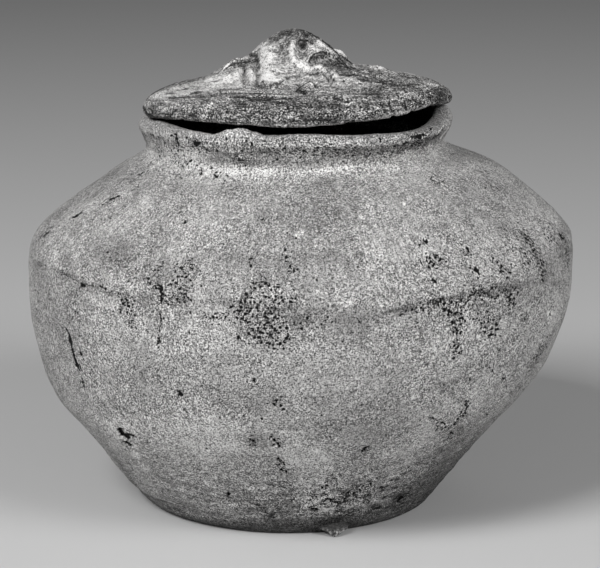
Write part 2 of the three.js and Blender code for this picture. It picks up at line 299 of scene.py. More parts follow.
def curve_through(points, step):
    """Catmull-Rom through 2D points, resampled evenly; the ends are kept."""
    p = np.array(points, float)
    q = np.concatenate([[2 * p[0] - p[1]], p, [2 * p[-1] - p[-2]]])
    out = []
    for i in range(1, len(q) - 2):
        t = np.linspace(0, 1, 24, endpoint=False)[:, None]
        a, b, c, d = q[i - 1], q[i], q[i + 1], q[i + 2]
        out.append(0.5 * (2 * b + (c - a) * t + (2 * a - 5 * b + 4 * c - d) * t**2 + (3 * b - a - 3 * c + d) * t**3))
    out = np.concatenate(out + [p[-1:]])
    s = np.concatenate([[0], np.cumsum(np.hypot(*np.diff(out, axis=0).T))])
    k = np.linspace(0, s[-1], int(round(s[-1] / step)) + 1)
    return np.stack([np.interp(k, s, out[:, 0]), np.interp(k, s, out[:, 1])], -1)


# ------------------------------------------------------------------ jar surface
def seam_height(deg):
    """The luting line wanders up and down round the belly."""
    rows = np.array([
        [-180, 122], [-157, 124.3], [-147, 123.6], [-137, 123], [-128, 120.6], [-120, 121.2], [-107, 121.8],
        [-96, 119.3], [-88, 118.2], [-84.5, 116], [-79, 112.4], [-73, 114.8], [-69, 117.2], [-63, 116.0],
        [-58, 116.6], [-50, 116.0], [-43, 115.6], [-36, 117.4], [-28, 117.0], [-20, 118.6], [0, 119.8], [20, 119.0],
        [60, 117], [100, 115], [140, 118.5], [180, 122]])
    return np.interp(deg, rows[:, 0], rows[:, 1])


def along_wall(deg, z, path, r):
    """Distance in mm along the wall from points to a path of (angle, height) corners."""
    k = math.radians(1) * r
    best = np.full(len(z), 1e3)
    for (ax, az), (bx, bz) in zip(path[:-1], path[1:]):
        px, pz = wrap(deg - ax) * k, z - az
        dx, dz = (bx - ax) * k, bz - az
        t = np.clip((px * dx + pz * dz) / (dx * dx + dz * dz), 0, 1)
        best = np.minimum(best, np.hypot(px - t * dx, pz - t * dz))
    return best


SCRATCH = [(-98.9, 165.6), (-96.8, 163.0), (-94.6, 161.2), (-91.8, 159.3)]
RING_MARK = [(-29.9, 96.9), (-29.5, 100.6)]

# Crack, chip and single pits where they lie in the front view: from, to, half-width, strength.
DARK_DRAWN = [
    (66, 328.5, 69, 337, 0.75, 1), (69, 337, 71, 345, 1.25, 1), (71, 345, 74, 357, 0.75, 1), (74, 357, 76.5, 364, 0.95, 1),
    (76.5, 363, 77, 366.5, 1.4, 1), (77, 367, 80, 374, 0.65, 0.9), (79.5, 366, 81, 371, 0.8, 1), (81.5, 379, 83.5, 388, 0.75, 1),
    (79.8, 353, 81, 355.5, 0.9, 1),
    (119.5, 429.5, 122, 434, 2.5, 1), (122, 433.5, 128, 438, 2.2, 1), (127, 434, 134, 436.5, 1.2, 0.8),
    (122.5, 440, 127, 443, 1.2, 1), (126, 443, 132, 445.5, 1.5, 0.7),
    (365, 449.5, 367.5, 448, 1.7, 1), (362.5, 451, 363.5, 451, 1.0, 1), (443.5, 385.3, 444.2, 385.6, 1.1, 1),
    (470.8, 378.6, 471.2, 378.8, 1.1, 1), (503.8, 378.8, 504.3, 379, 0.9, 1), (179, 392, 181.5, 395.5, 1.1, 1),
    (185, 222, 185.5, 222, 1.1, 1), (110, 217.3, 111, 217.3, 0.9, 1), (137.5, 186, 138, 186, 0.8, 1),
    (228.2, 495.6, 229, 495.8, 1.1, 1), (262, 218, 262.4, 218, 0.8, 1), (233.6, 218.8, 234, 218.8, 0.8, 1),
    (549.4, 313, 549.6, 316, 0.6, 0.8),
    (175, 133, 175.3, 139, 1.0, 0.8), (176, 140, 178.5, 146, 0.9, 0.8), (193, 142, 199, 143, 1.2, 1.0), (194.5, 145.6, 196.5, 146, 0.9, 0.9),
    (200, 147, 204, 150.5, 0.8, 0.8), (206, 149, 209, 152, 0.7, 0.6), (217, 151, 217.5, 151.2, 1.1, 0.9), (241, 150.5, 242, 151, 1.0, 0.8),
    (237, 161, 243.5, 161, 0.9, 0.8), (201, 170, 201.5, 170.2, 1.0, 0.9), (226.4, 174, 226.8, 174.4, 1.0, 0.9), (223.3, 183, 224, 183.2, 1.1, 0.9),
    (212, 173, 217, 177, 0.8, 0.5), (213, 178, 216, 175, 0.7, 0.5), (152.4, 136, 152.8, 136.4, 0.9, 0.7), (150, 147, 152, 149, 0.6, 0.5),
    (280, 154.6, 280.6, 155, 0.9, 0.7), (290, 154, 291, 154, 0.8, 0.6), (303, 150.4, 304, 150.4, 0.8, 0.5), (297.4, 163, 298.4, 169, 0.6, 0.6),
    (380.4, 138, 381.2, 141.6, 1.0, 0.9), (417, 136.6, 419, 138.4, 1.1, 1.0), (412, 144, 418, 143, 0.8, 0.6), (425, 139, 431, 134, 0.6, 0.6),
    (432, 141, 440, 133, 0.7, 0.6), (437, 138, 446, 125, 0.6, 0.6), (444, 128, 448, 118, 0.5, 0.5), (183, 162, 190, 162.4, 0.7, 0.6),
    (400, 161.4, 403, 161, 0.7, 0.6), (431, 177, 435, 179.5, 0.8, 0.7), (440, 182, 441, 183, 0.8, 0.8), (245, 158, 250, 159, 0.7, 0.5),
    (353, 161, 354, 161.6, 0.8, 0.6), (342, 166, 346, 165, 0.7, 0.6), (320, 158, 323, 159, 0.8, 0.6), (366, 158, 372, 156, 0.7, 0.5),
    (160, 137, 161, 140, 0.7, 0.5), (228, 148, 231, 150, 0.8, 0.5), (262, 150, 266, 151, 0.8, 0.5), (330, 151, 334, 152, 0.8, 0.5),
    (137.5, 174.5, 145, 170.3, 0.7, 0.8), (128, 183, 134, 179, 0.5, 0.6), (101.5, 204.5, 109, 200, 0.7, 0.8), (110, 199, 119, 195, 0.8, 0.9),
    (72, 217.5, 81, 212, 0.8, 0.9), (60, 226, 66, 222, 0.5, 0.5), (40.6, 237.5, 48.4, 231.5, 0.9, 0.8), (92, 214, 97, 211, 0.5, 0.5),
    (37.5, 261, 47, 267, 0.6, 0.6), (58, 271, 68, 276, 0.6, 0.7), (68, 276, 81, 284, 0.6, 0.7), (81, 284.5, 84, 286, 1.3, 0.9),
    (88, 285, 97, 287, 0.6, 0.7), (97, 287, 104, 291, 0.5, 0.6), (107, 292.5, 117, 293.5, 0.6, 0.6),
    (477, 266, 484, 272, 0.7, 0.42), (494, 261, 503, 269, 0.7, 0.45), (461, 246, 467, 252, 0.7, 0.45), (521, 229, 529, 239, 0.7, 0.42),
    (532, 246, 539, 260, 0.8, 0.45), (560, 234, 563.5, 239, 1.0, 0.8), (566, 248, 567.5, 264, 0.9, 0.45), (508, 271, 513, 273, 0.7, 0.6),
    (475, 269, 478, 271.5, 1.2, 0.8), (434.5, 280, 436, 283, 1.3, 0.9), (160.3, 315, 160.8, 322, 0.8, 0.8), (159.4, 327, 159.6, 332, 0.8, 0.8),
    (159.5, 337, 159, 344, 0.7, 0.7), (161, 286, 160.7, 292, 1.0, 0.9), (160.5, 296, 161, 303, 0.8, 0.8),
    (469, 406, 464, 415, 0.8, 0.8), (461, 417, 456, 425, 0.7, 0.7), (545, 349, 536, 361, 0.7, 0.5), (250, 440, 254, 442, 1.0, 0.8),
    (196, 142, 197.5, 143.5, 1.6, 0.9), (176.5, 137, 177.5, 147, 0.7, 0.7), (412, 136.5, 422, 134.5, 1.0, 0.9), (201, 169, 201.5, 174, 1.0, 0.9),
    (214, 174, 216.5, 176, 1.3, 0.8), (380, 487, 398, 478, 0.6, 0.6), (352, 488, 366, 486.5, 0.7, 0.7), (307, 496, 316, 499, 0.7, 0.7),
    (311, 492.5, 320, 491, 0.6, 0.6), (328, 500, 338, 504, 0.9, 0.8), (355, 498, 368, 501, 0.8, 0.7), (311, 508, 318, 510.5, 1.1, 0.9),
    (374, 510, 381, 508, 0.9, 0.8), (398, 501, 403, 498, 1.3, 0.9), (280, 531.5, 300, 531, 0.9, 0.6), (340, 494, 350, 493, 0.9, 0.7),
]
# Separate pinholes big enough to be seen: across, down, half width.
PINHOLES = [
    (420, 244.5, 1.0), (423.7, 239.5, 0.9), (426.5, 241.5, 1.4), (430, 257.5, 1.1), (429.5, 263, 0.9), (429.2, 267, 1.2), (434, 263, 1.3),
    (435.5, 257, 1.2), (439.5, 260, 1.1), (440.8, 258.2, 1.0), (446.5, 261.5, 0.8), (448.5, 267.5, 0.8), (431, 261, 1.0), (433, 265.5, 0.9),
    (400, 315, 1.2), (416.5, 322.5, 1.1), (423.7, 310, 1.0), (428.7, 313.7, 1.0), (433.7, 300, 1.1), (437.5, 302.5, 1.2), (441.2, 300.7, 1.0),
    (445, 305, 1.1), (444, 310, 1.2), (445.5, 302.2, 1.0), (448.7, 311, 1.2), (451, 312.5, 1.1), (455, 313.7, 1.2), (457.5, 312.5, 1.0),
    (460, 318, 1.3), (463, 318.5, 1.2), (452, 322.5, 1.4), (455.5, 322.8, 1.0), (461, 323.7, 1.2), (457.5, 330, 1.6), (453.5, 332, 1.3),
    (460.3, 333.7, 1.0), (452.5, 327, 1.0), (466, 302.5, 1.2), (468.7, 300, 1.2), (471, 296, 1.3), (480, 320, 1.1), (482, 323.2, 1.2),
    (486, 327.5, 1.0), (492, 334.5, 1.4), (492.5, 328.7, 1.1), (497, 324.5, 1.2), (498, 329, 1.1), (489.5, 335.5, 1.2), (455, 345.7, 1.2),
    (458, 347.5, 1.1), (453.7, 342.5, 0.9), (481, 296, 1.1), (485, 293.7, 1.1), (488.7, 295, 1.1), (492.5, 297.5, 1.2), (495, 293.7, 1.1),
    (496, 298.7, 1.1), (498.7, 296, 1.2), (482.5, 300, 0.9), (508.7, 297.5, 1.4), (510, 301, 1.3), (511, 294.5, 1.4), (509.5, 305, 1.0),
    (526, 237.5, 1.0), (528.7, 239, 1.1), (531, 243.7, 1.0), (533.7, 250, 1.0), (541, 260, 1.0), (542.5, 275, 1.1), (542.5, 280, 1.0),
    (541, 267.5, 0.9), (476, 268, 1.2), (478, 270.2, 1.2), (478.7, 277.5, 0.9), (467.5, 247.5, 1.2), (469, 250.5, 1.1), (471.5, 254, 0.9),
    (493.7, 257.5, 1.0), (498, 262, 0.9), (501, 267.5, 1.1), (503.7, 271, 1.0), (511, 272.5, 1.1), (507.5, 277.5, 1.0), (475, 293.7, 1.0),
    (187.5, 260, 0.9), (192, 265, 1.1), (180, 267.5, 1.0), (185, 272.5, 1.0), (177.5, 276, 1.1), (186, 276.5, 1.1), (190, 280, 1.0),
    (193.7, 272.5, 0.9), (176, 282.5, 1.0), (162.5, 261, 0.9), (161, 266, 1.0), (170, 283.7, 1.0), (158.7, 285, 1.1), (161, 287.5, 1.3),
    (155, 286, 1.0), (162, 293.7, 1.2), (162, 298.7, 1.1), (185, 293.7, 1.0), (187.5, 297.5, 1.1), (181, 292.5, 1.0), (178.7, 288.7, 1.0),
    (190, 300, 1.0), (183.7, 302.5, 0.9), (121, 300, 1.2), (122.5, 303.7, 1.3), (120, 310, 1.1), (126, 300, 1.0), (128.7, 306, 1.2),
    (132.5, 307.5, 1.1), (120, 313.7, 0.9), (127, 312.5, 1.0), (131, 311, 1.0), (135, 315, 1.0), (132, 321, 0.9), (131, 327.5, 0.9),
    (128, 281, 0.9), (100, 286, 0.9), (105, 288.7, 0.9), (246, 293.7, 1.6), (251, 297.5, 1.2), (241, 300, 1.1), (232.5, 306, 1.0),
    (237.5, 310, 1.1), (245, 313.7, 1.6), (242.5, 317.5, 1.0), (245, 321, 1.1), (228.7, 320, 1.0), (225, 317.5, 0.9), (215, 313.7, 0.9),
    (190, 312.5, 1.1), (238, 337.5, 1.4), (251, 308.7, 1.1), (257.5, 311, 1.0), (263.7, 316, 1.1), (267.5, 322.5, 1.6), (271, 313.7, 1.1),
    (275, 308.7, 1.2), (264.5, 325.5, 1.1), (275, 316, 1.3), (272.5, 320.5, 1.0), (277.5, 318.7, 1.1), (260, 323.7, 1.1), (255, 325, 1.0),
    (252.5, 330, 1.2), (257.5, 331, 1.1), (261.5, 332.5, 1.1), (260, 337.5, 1.3), (261, 342.5, 1.3), (265.5, 336, 1.1), (266.5, 343, 1.4),
    (271, 335, 1.1), (275, 330, 1.7), (271.5, 326.5, 1.1), (278.7, 333.7, 1.1), (280, 343.7, 1.5), (284, 342, 1.2), (287.5, 336, 1.1),
    (272.5, 345.5, 1.1), (265, 282.5, 1.3), (260, 286, 1.2), (255, 287.5, 1.1), (268.7, 285, 1.1), (262.5, 292.5, 1.1), (271, 290, 1.0),
    (275, 300, 1.1), (282.5, 300, 1.0), (278.7, 304, 1.2), (251, 257.5, 1.2), (251, 265, 1.1), (285, 250, 1.1), (286, 256, 1.2),
    (285, 260.5, 1.0), (290, 266, 1.3), (288.7, 270, 1.1), (297.5, 268.7, 1.2), (287.5, 232.5, 0.9), (296, 237.5, 1.1),
    (271, 437.5, 1.1), (274, 441, 1.2), (277.5, 444, 1.4), (279.5, 447, 1.1), (273.5, 446, 0.9), (278, 459.5, 1.4), (283, 463.5, 1.1),
    (281, 470.5, 1.3), (286, 473, 1.1), (278.5, 466, 1.1), (276, 401, 1.2), (280.5, 405.5, 1.4), (274, 404, 0.9), (283, 409, 1.0),
    (433, 419, 1.2), (437, 421, 1.0), (443, 424, 1.6), (439, 428, 1.0), (446, 429, 1.1), (452, 434, 1.1), (455, 426, 1.0), (459, 420, 1.0),
    (462, 413, 1.2), (466, 405, 1.2), (469, 402, 1.0), (464, 417, 1.0), (227.5, 495, 1.2), (322, 488, 1.2), (327, 486.5, 1.4), (316, 498, 1.1),
    (354, 494, 1.4), (360, 491, 1.1), (401, 498, 1.6), (398, 502, 1.3), (296, 495, 1.0), (345, 500, 1.2), (371, 485, 1.0), (377, 479, 1.0),
    (262, 419, 0.9), (254, 381, 0.9), (193, 465, 0.9), (206, 449, 0.8), (340, 430, 0.7), (386, 436, 0.7),
    (217, 143, 1.0), (226, 139, 0.9), (171, 135, 1.0), (164, 143, 0.8), (186, 137, 0.8), (246, 141, 0.9), (262, 145, 0.8), (331, 144, 0.9),
    (356, 143, 0.8), (395, 147, 1.0), (404, 144, 1.0), (420, 137.5, 1.6), (424, 134.5, 1.2), (412, 146, 0.9), (431, 128, 0.9), (159, 156, 0.8),
    (211, 168, 0.8), (190, 161, 0.8), (277, 160, 0.8), (318, 163, 0.8), (372, 161, 0.8), (385, 157, 0.8), (300, 158, 0.8), (245, 166, 0.8),
]
PINHOLES = [(x, y, x + 0.4, y + 0.2, w + 0.12, 1) for x, y, w in PINHOLES]
# Pale specks and marks where they lie in the front view, as above, with painted glints on the chip's edges under the
# crack and a painted highlight along the foot's bottom edge.
PALE_DRAWN_AND_GLINTS = [
    (120, 436.5, 124.5, 439, 1.6, 1), (132, 444.5, 138, 448, 1.8, 0.9), (124, 426, 128, 429, 1.2, 0.7), (311, 449, 313, 450, 1.1, 0.8),
    (317, 452, 319, 451, 1.3, 0.8), (322, 459, 325, 460, 1.1, 0.8), (330, 452, 332, 453, 1.1, 0.7), (309, 460, 311, 461, 1.2, 0.7),
    (340, 463, 342, 463, 1.1, 0.7), (326, 468, 328, 467, 1.1, 0.7), (301, 446, 303, 447, 1.0, 0.6), (334, 475, 337, 474, 1.1, 0.7),
    (316, 466, 318, 467, 1.0, 0.7), (347, 471, 350, 470, 1.0, 0.6), (212, 446, 220, 446.5, 1.2, 0.7), (272, 478, 276, 477.5, 1.3, 0.9),
    (250, 488.5, 266, 489, 1.0, 0.7), (222, 505, 233, 505.5, 0.8, 0.6), (204, 482, 209, 485, 0.9, 0.6),
    (293, 144, 297, 145, 0.9, 0.8), (311, 142.5, 313, 142.6, 0.8, 0.7), (330, 145, 332, 145.4, 0.8, 0.7), (337, 143, 339, 143, 0.8, 0.7),
    (346, 143.4, 348, 143.6, 0.9, 0.8), (356, 143.4, 358, 143.2, 0.9, 0.8), (262, 142.6, 275, 141.6, 0.6, 0.5), (240, 140, 246, 141, 0.8, 0.6),
    (238, 145, 241, 147, 0.8, 0.6), (424, 138, 430, 132.6, 0.6, 0.6), (420, 135.6, 421.6, 137.4, 0.8, 0.9), (176, 163, 183, 162, 0.8, 0.6),
    (192, 157, 198, 157.6, 0.8, 0.6), (209, 142, 213, 141, 0.7, 0.6), (223, 141, 227, 140, 0.7, 0.6), (340, 168, 360, 167, 0.7, 0.5),
    (437, 135, 444, 125, 0.5, 0.6), (440, 139, 449, 127, 0.5, 0.5), (402, 158, 405, 157, 0.8, 0.8), (399, 168, 400, 169, 0.8, 0.8),
    (350, 528.6, 372, 525.4, 0.5, 0.6), (372, 525.4, 396, 519.6, 0.5, 0.5), (304, 172, 320, 171, 0.7, 0.4), (166, 158, 172, 156, 0.8, 0.5),
    (107, 421.5, 110.5, 423.5, 1.2, 0.8), (112, 426, 118, 432, 1.8, 1), (118, 432, 123.5, 439.5, 1.9, 1),
    (119, 428, 122, 425, 0.8, 0.8), (115, 424, 120, 417, 0.5, 0.7), (126, 424, 132, 427, 1.0, 0.8),
    (132, 427, 137, 434, 1.0, 0.7), (138, 438, 141, 441, 0.7, 0.5), (133.5, 454, 139, 457, 2.6, 0.45), (142, 465, 145, 470, 0.6, 0.6),
    (548, 311, 548, 318, 0.6, 1), (551, 311.5, 550.6, 318, 0.6, 0.9),
    (296.5, 235.5, 298, 236.5, 1.5, 0.9), (380.5, 305, 382, 306, 1.4, 0.9), (271, 477.5, 276, 476.8, 0.9, 0.9),
    (403.5, 203.6, 404.5, 204, 0.9, 0.8), (246, 489, 262, 489.5, 0.6, 0.5), (222, 446.5, 231, 446, 0.7, 0.6),
]


def drawn_at(co, marks, seed, back=0.0, wobble=1.0):
    """Short ragged strokes on points, 1 inside; only in front of a given depth."""
    x, y = seen(co)
    out = np.zeros(len(co))
    near = co[:, 1] < back
    for x0, y0, x1, y1, half, strength in marks:
        reach = 5 + half
        on = np.nonzero(near & (x > min(x0, x1) - reach) & (x < max(x0, x1) + reach)
                        & (y > min(y0, y1) - reach) & (y < max(y0, y1) + reach))[0]
        if not len(on):
            continue
        p = co[on]
        qx = x[on] + wobble * (1.3 * lattice_noise(p / 1.5, seed) + 0.9 * lattice_noise(p / 0.8, seed + 1))
        qy = y[on] + wobble * (1.3 * lattice_noise(p / 1.5, seed + 2) + 0.9 * lattice_noise(p / 0.8, seed + 3))
        dx, dy = x1 - x0, y1 - y0
        t = np.clip(((qx - x0) * dx + (qy - y0) * dy) / max(dx * dx + dy * dy, 1e-6), 0, 1)
        d = np.hypot(qx - x0 - t * dx, qy - y0 - t * dy)
        out[on] = np.maximum(out[on], strength * smoothstep((half + 0.45 - d) / 0.9))
    return out


def strokes_near(co, marks, seed, back, wobble=1.0):
    """How far inside a stroke each point lies, in pixels of the front view, and how strong that stroke is."""
    x, y = seen(co)
    out, power = np.full(len(co), -3.0), np.zeros(len(co))
    near = co[:, 1] < back
    for x0, y0, x1, y1, half, strength in marks:
        reach = 4 + half
        on = np.nonzero(near & (x > min(x0, x1) - reach) & (x < max(x0, x1) + reach)
                        & (y > min(y0, y1) - reach) & (y < max(y0, y1) + reach))[0]
        if not len(on):
            continue
        p = co[on]
        qx = x[on] + wobble * 0.9 * lattice_noise(p / 1.6, seed)
        qy = y[on] + wobble * 0.9 * lattice_noise(p / 1.6, seed + 2)
        dx, dy = x1 - x0, y1 - y0
        t = np.clip(((qx - x0) * dx + (qy - y0) * dy) / max(dx * dx + dy * dy, 1e-6), 0, 1)
        inside = half - np.hypot(qx - x0 - t * dx, qy - y0 - t * dy)
        better = inside > out[on]
        out[on] = np.where(better, inside, out[on])
        power[on] = np.where(better & (inside > -1.5), strength, power[on])
    return out, power


# Pinholes gather in these places (front view: across, down, half-length, half-width, turn, how many).
PIT_MARKS = [
    (271, 322, 15, 12, 20, 1.0), (262, 338, 16, 6, 8, 0.8), (281, 343, 8, 6, 0, 0.9), (245, 313, 8, 11, 0, 0.8),
    (256, 300, 10, 8, 0, 0.75), (262, 283, 10, 5, 0, 0.65), (251, 263, 3.5, 4, 0, 0.7), (285, 257, 5, 4, 20, 0.75),
    (291, 268, 5, 4, 30, 0.75), (233, 303, 7, 6, 0, 0.6), (226, 316, 9, 4, 10, 0.5), (205, 315, 14, 2.2, 6, 0.55),
    (275, 292, 5, 9, 0, 0.5), (292, 300, 5, 8, 0, 0.4),
    (161, 297, 3, 9, 4, 0.8), (153, 288, 5, 6, 0, 0.75), (182, 291, 11, 12, 40, 0.8), (187, 268, 9, 9, 0, 0.7),
    (176, 300, 12, 6, 0, 0.7), (162, 268, 8, 7, 0, 0.35), (148, 272, 6, 9, 0, 0.3), (262, 308, 34, 26, 10, 0.25),
    (456, 350, 6, 8, 0, 0.6), (548, 232, 8, 20, -20, 0.3), (520, 250, 16, 26, -30, 0.22), (436, 176, 8, 4, 10, 0.5), (480, 170, 12, 3, 30, 0.4),
    (500, 190, 14, 3, 35, 0.3), (527, 199, 5, 2, 40, 0.6), (430, 240, 7, 3, 0, 0.4), (300, 140, 140, 6, 0, 0.14), (420, 137, 7, 4, 0, 0.7),
    (154, 136, 10, 5, 0, 0.3), (197, 146, 14, 8, 0, 0.35), (238, 160, 10, 4, 0, 0.5), (215, 176, 6, 5, 0, 0.45), (330, 150, 60, 7, 0, 0.25),
    (415, 143, 16, 4, -10, 0.5), (180, 162, 14, 4, 0, 0.3), (300, 168, 120, 3, 0, 0.12), (130, 172, 18, 3, -32, 0.45), (105, 200, 14, 3, -32, 0.4),
    (48, 232, 10, 3, -40, 0.4), (146, 166, 6, 3, -30, 0.4), (540, 350, 16, 4, -60, 0.5), (536, 300, 5, 12, 0, 0.25), (490, 362, 4, 14, 0, 0.4), (448, 430, 10, 6, 0, 0.4), (466, 340, 24, 16, 0, 0.2), (430, 258, 12, 10, 0, 0.25), (160, 324, 1.8, 6, 3, 0.9), (159, 341, 1.8, 9, 3, 0.7), (120, 302, 3.5, 9, 4, 0.8),
    (129, 306, 6, 6, 0, 0.65), (82, 286, 3.5, 3, 30, 0.7), (98, 286, 9, 2.4, 22, 0.6), (113, 291, 6, 2.4, 14, 0.5),
    (131, 322, 4, 4, 0, 0.4), (238, 336, 4, 4, 0, 0.5),
    (427, 243, 5, 4, 25, 0.6), (436, 262, 9, 6.5, 10, 0.7), (435, 281, 2.6, 2.6, 0, 0.95), (463, 249, 9, 3.0, 45, 0.9),
    (477, 271, 8, 3.0, 45, 1.0), (497, 264, 11, 3.2, 48, 0.9), (509, 272, 4, 2.2, 20, 0.7), (525, 234, 12, 4, 56, 0.8),
    (535, 251, 15, 5, 62, 0.8), (541, 266, 9, 5, 68, 0.7), (526, 269, 10, 2.4, 60, 0.55), (562, 237, 6, 2.2, 50, 0.95),
    (567, 256, 3, 13, 4, 0.6), (552, 246, 3, 9, -12, 0.5), (484, 289, 14, 4.5, -16, 1.0), (510, 289, 8, 5, 0, 1.1),
    (513, 300, 4, 9, 0, 0.8), (447, 304, 18, 6, -4, 1.0), (462, 312, 15, 10, 0, 0.9), (458, 328, 5, 4, 0, 0.75),
    (423, 306, 12, 4, -14, 0.8), (404, 312, 7, 3, -16, 0.5), (490, 326, 7, 9, 0, 1.0), (489, 310, 2.4, 12, 0, 0.55),
    (525, 317, 2.0, 6, 0, 0.7), (457, 350, 5, 8, 30, 0.6), (489, 366, 4, 8, 10, 0.4), (500, 343, 4, 10, 0, 0.35),
    (444, 385, 1.6, 1.8, 0, 1.6), (471, 379, 1.5, 1.5, 0, 1.5), (504, 379, 1.5, 1.5, 0, 1.4), (466, 409, 3.5, 10, 18, 1.0),
    (459, 418, 2.2, 8, 24, 0.8), (443, 427, 9, 4, 10, 0.95), (452, 436, 3, 4, 30, 0.7), (431, 419, 5, 2.4, 10, 0.6),
    (489, 415, 6, 2, -30, 0.8), (537, 355, 12, 2.6, -52, 0.75), (520, 385, 12, 3, -50, 0.4), (366, 449, 3.4, 2.6, -20, 1.6),
    (279, 401, 5, 5, 0, 0.95), (277, 441, 6, 5, 20, 1.05), (253, 441, 6, 5, 0, 0.7), (281, 465, 5, 9, -14, 1.05),
    (279, 486, 7, 5, 0, 0.7), (261, 419, 2, 2, 0, 0.9), (254, 380, 2, 2, 0, 0.9), (180, 394, 2.0, 3.6, -28, 1.6),
    (131, 404, 4, 3, 30, 0.5), (103, 406, 4, 3, 30, 0.5), (228, 495, 2.2, 1.8, 0, 1.4), (206, 473, 16, 5, 8, 0.3),
    (323, 497, 17, 8, -4, 0.75), (364, 493, 18, 7, -12, 0.75), (398, 498, 8, 4, -25, 0.9), (352, 510, 26, 4, -10, 0.6),
    (331, 478, 20, 7, 0, 0.4), (420, 470, 20, 8, -28, 0.35), (265, 508, 20, 8, 4, 0.45), (372, 470, 14, 9, -10, 0.35),
    (131, 466, 9, 2.2, 52, 0.55), (185, 222, 1.5, 1.5, 0, 1.5), (110, 217, 1.8, 1.4, 0, 1.2), (137, 186, 1.5, 1.4, 0, 1.2),
    (201, 172, 1.6, 4, 8, 1.0), (215, 175, 2.4, 2.8, 0, 0.8), (224, 182, 1.4, 1.4, 0, 1.3), (227, 174, 1.6, 1.6, 0, 0.9),
    (262, 218, 1.3, 1.3, 0, 1.2), (234, 219, 1.3, 1.3, 0, 1.1), (297, 236, 1.8, 1.6, 0, 1.5),
    (141, 176, 8, 2, -28, 0.6), (112, 200, 7, 2, -30, 0.6), (77, 215, 7, 2, -36, 0.7), (45, 235, 6, 2, -48, 0.7),
    (196, 143, 2.6, 2.2, 0, 1.5), (177, 140, 2, 9, 3, 0.8), (190, 150, 16, 6, 4, 0.35), (300, 151, 80, 6, 0, 0.35),
    (418, 136, 6, 3, -15, 0.9), (405, 148, 24, 4, -12, 0.4), (437, 180, 8, 5, 20, 0.5), (165, 147, 8, 6, 0, 0.35),
    (238, 158, 5, 3, 0, 0.6), (240, 190, 18, 4, 4, 0.2), (345, 155, 30, 5, 0, 0.3), (205, 165, 40, 3, 4, 0.3),
    (108, 254, 20, 10, -10, 0.14), (140, 330, 34, 26, 0, 0.10), (330, 326, 36, 12, 0, 0.22),
    (40, 240, 4, 18, -20, 0.3), (37, 300, 3, 40, -6, 0.25),
]
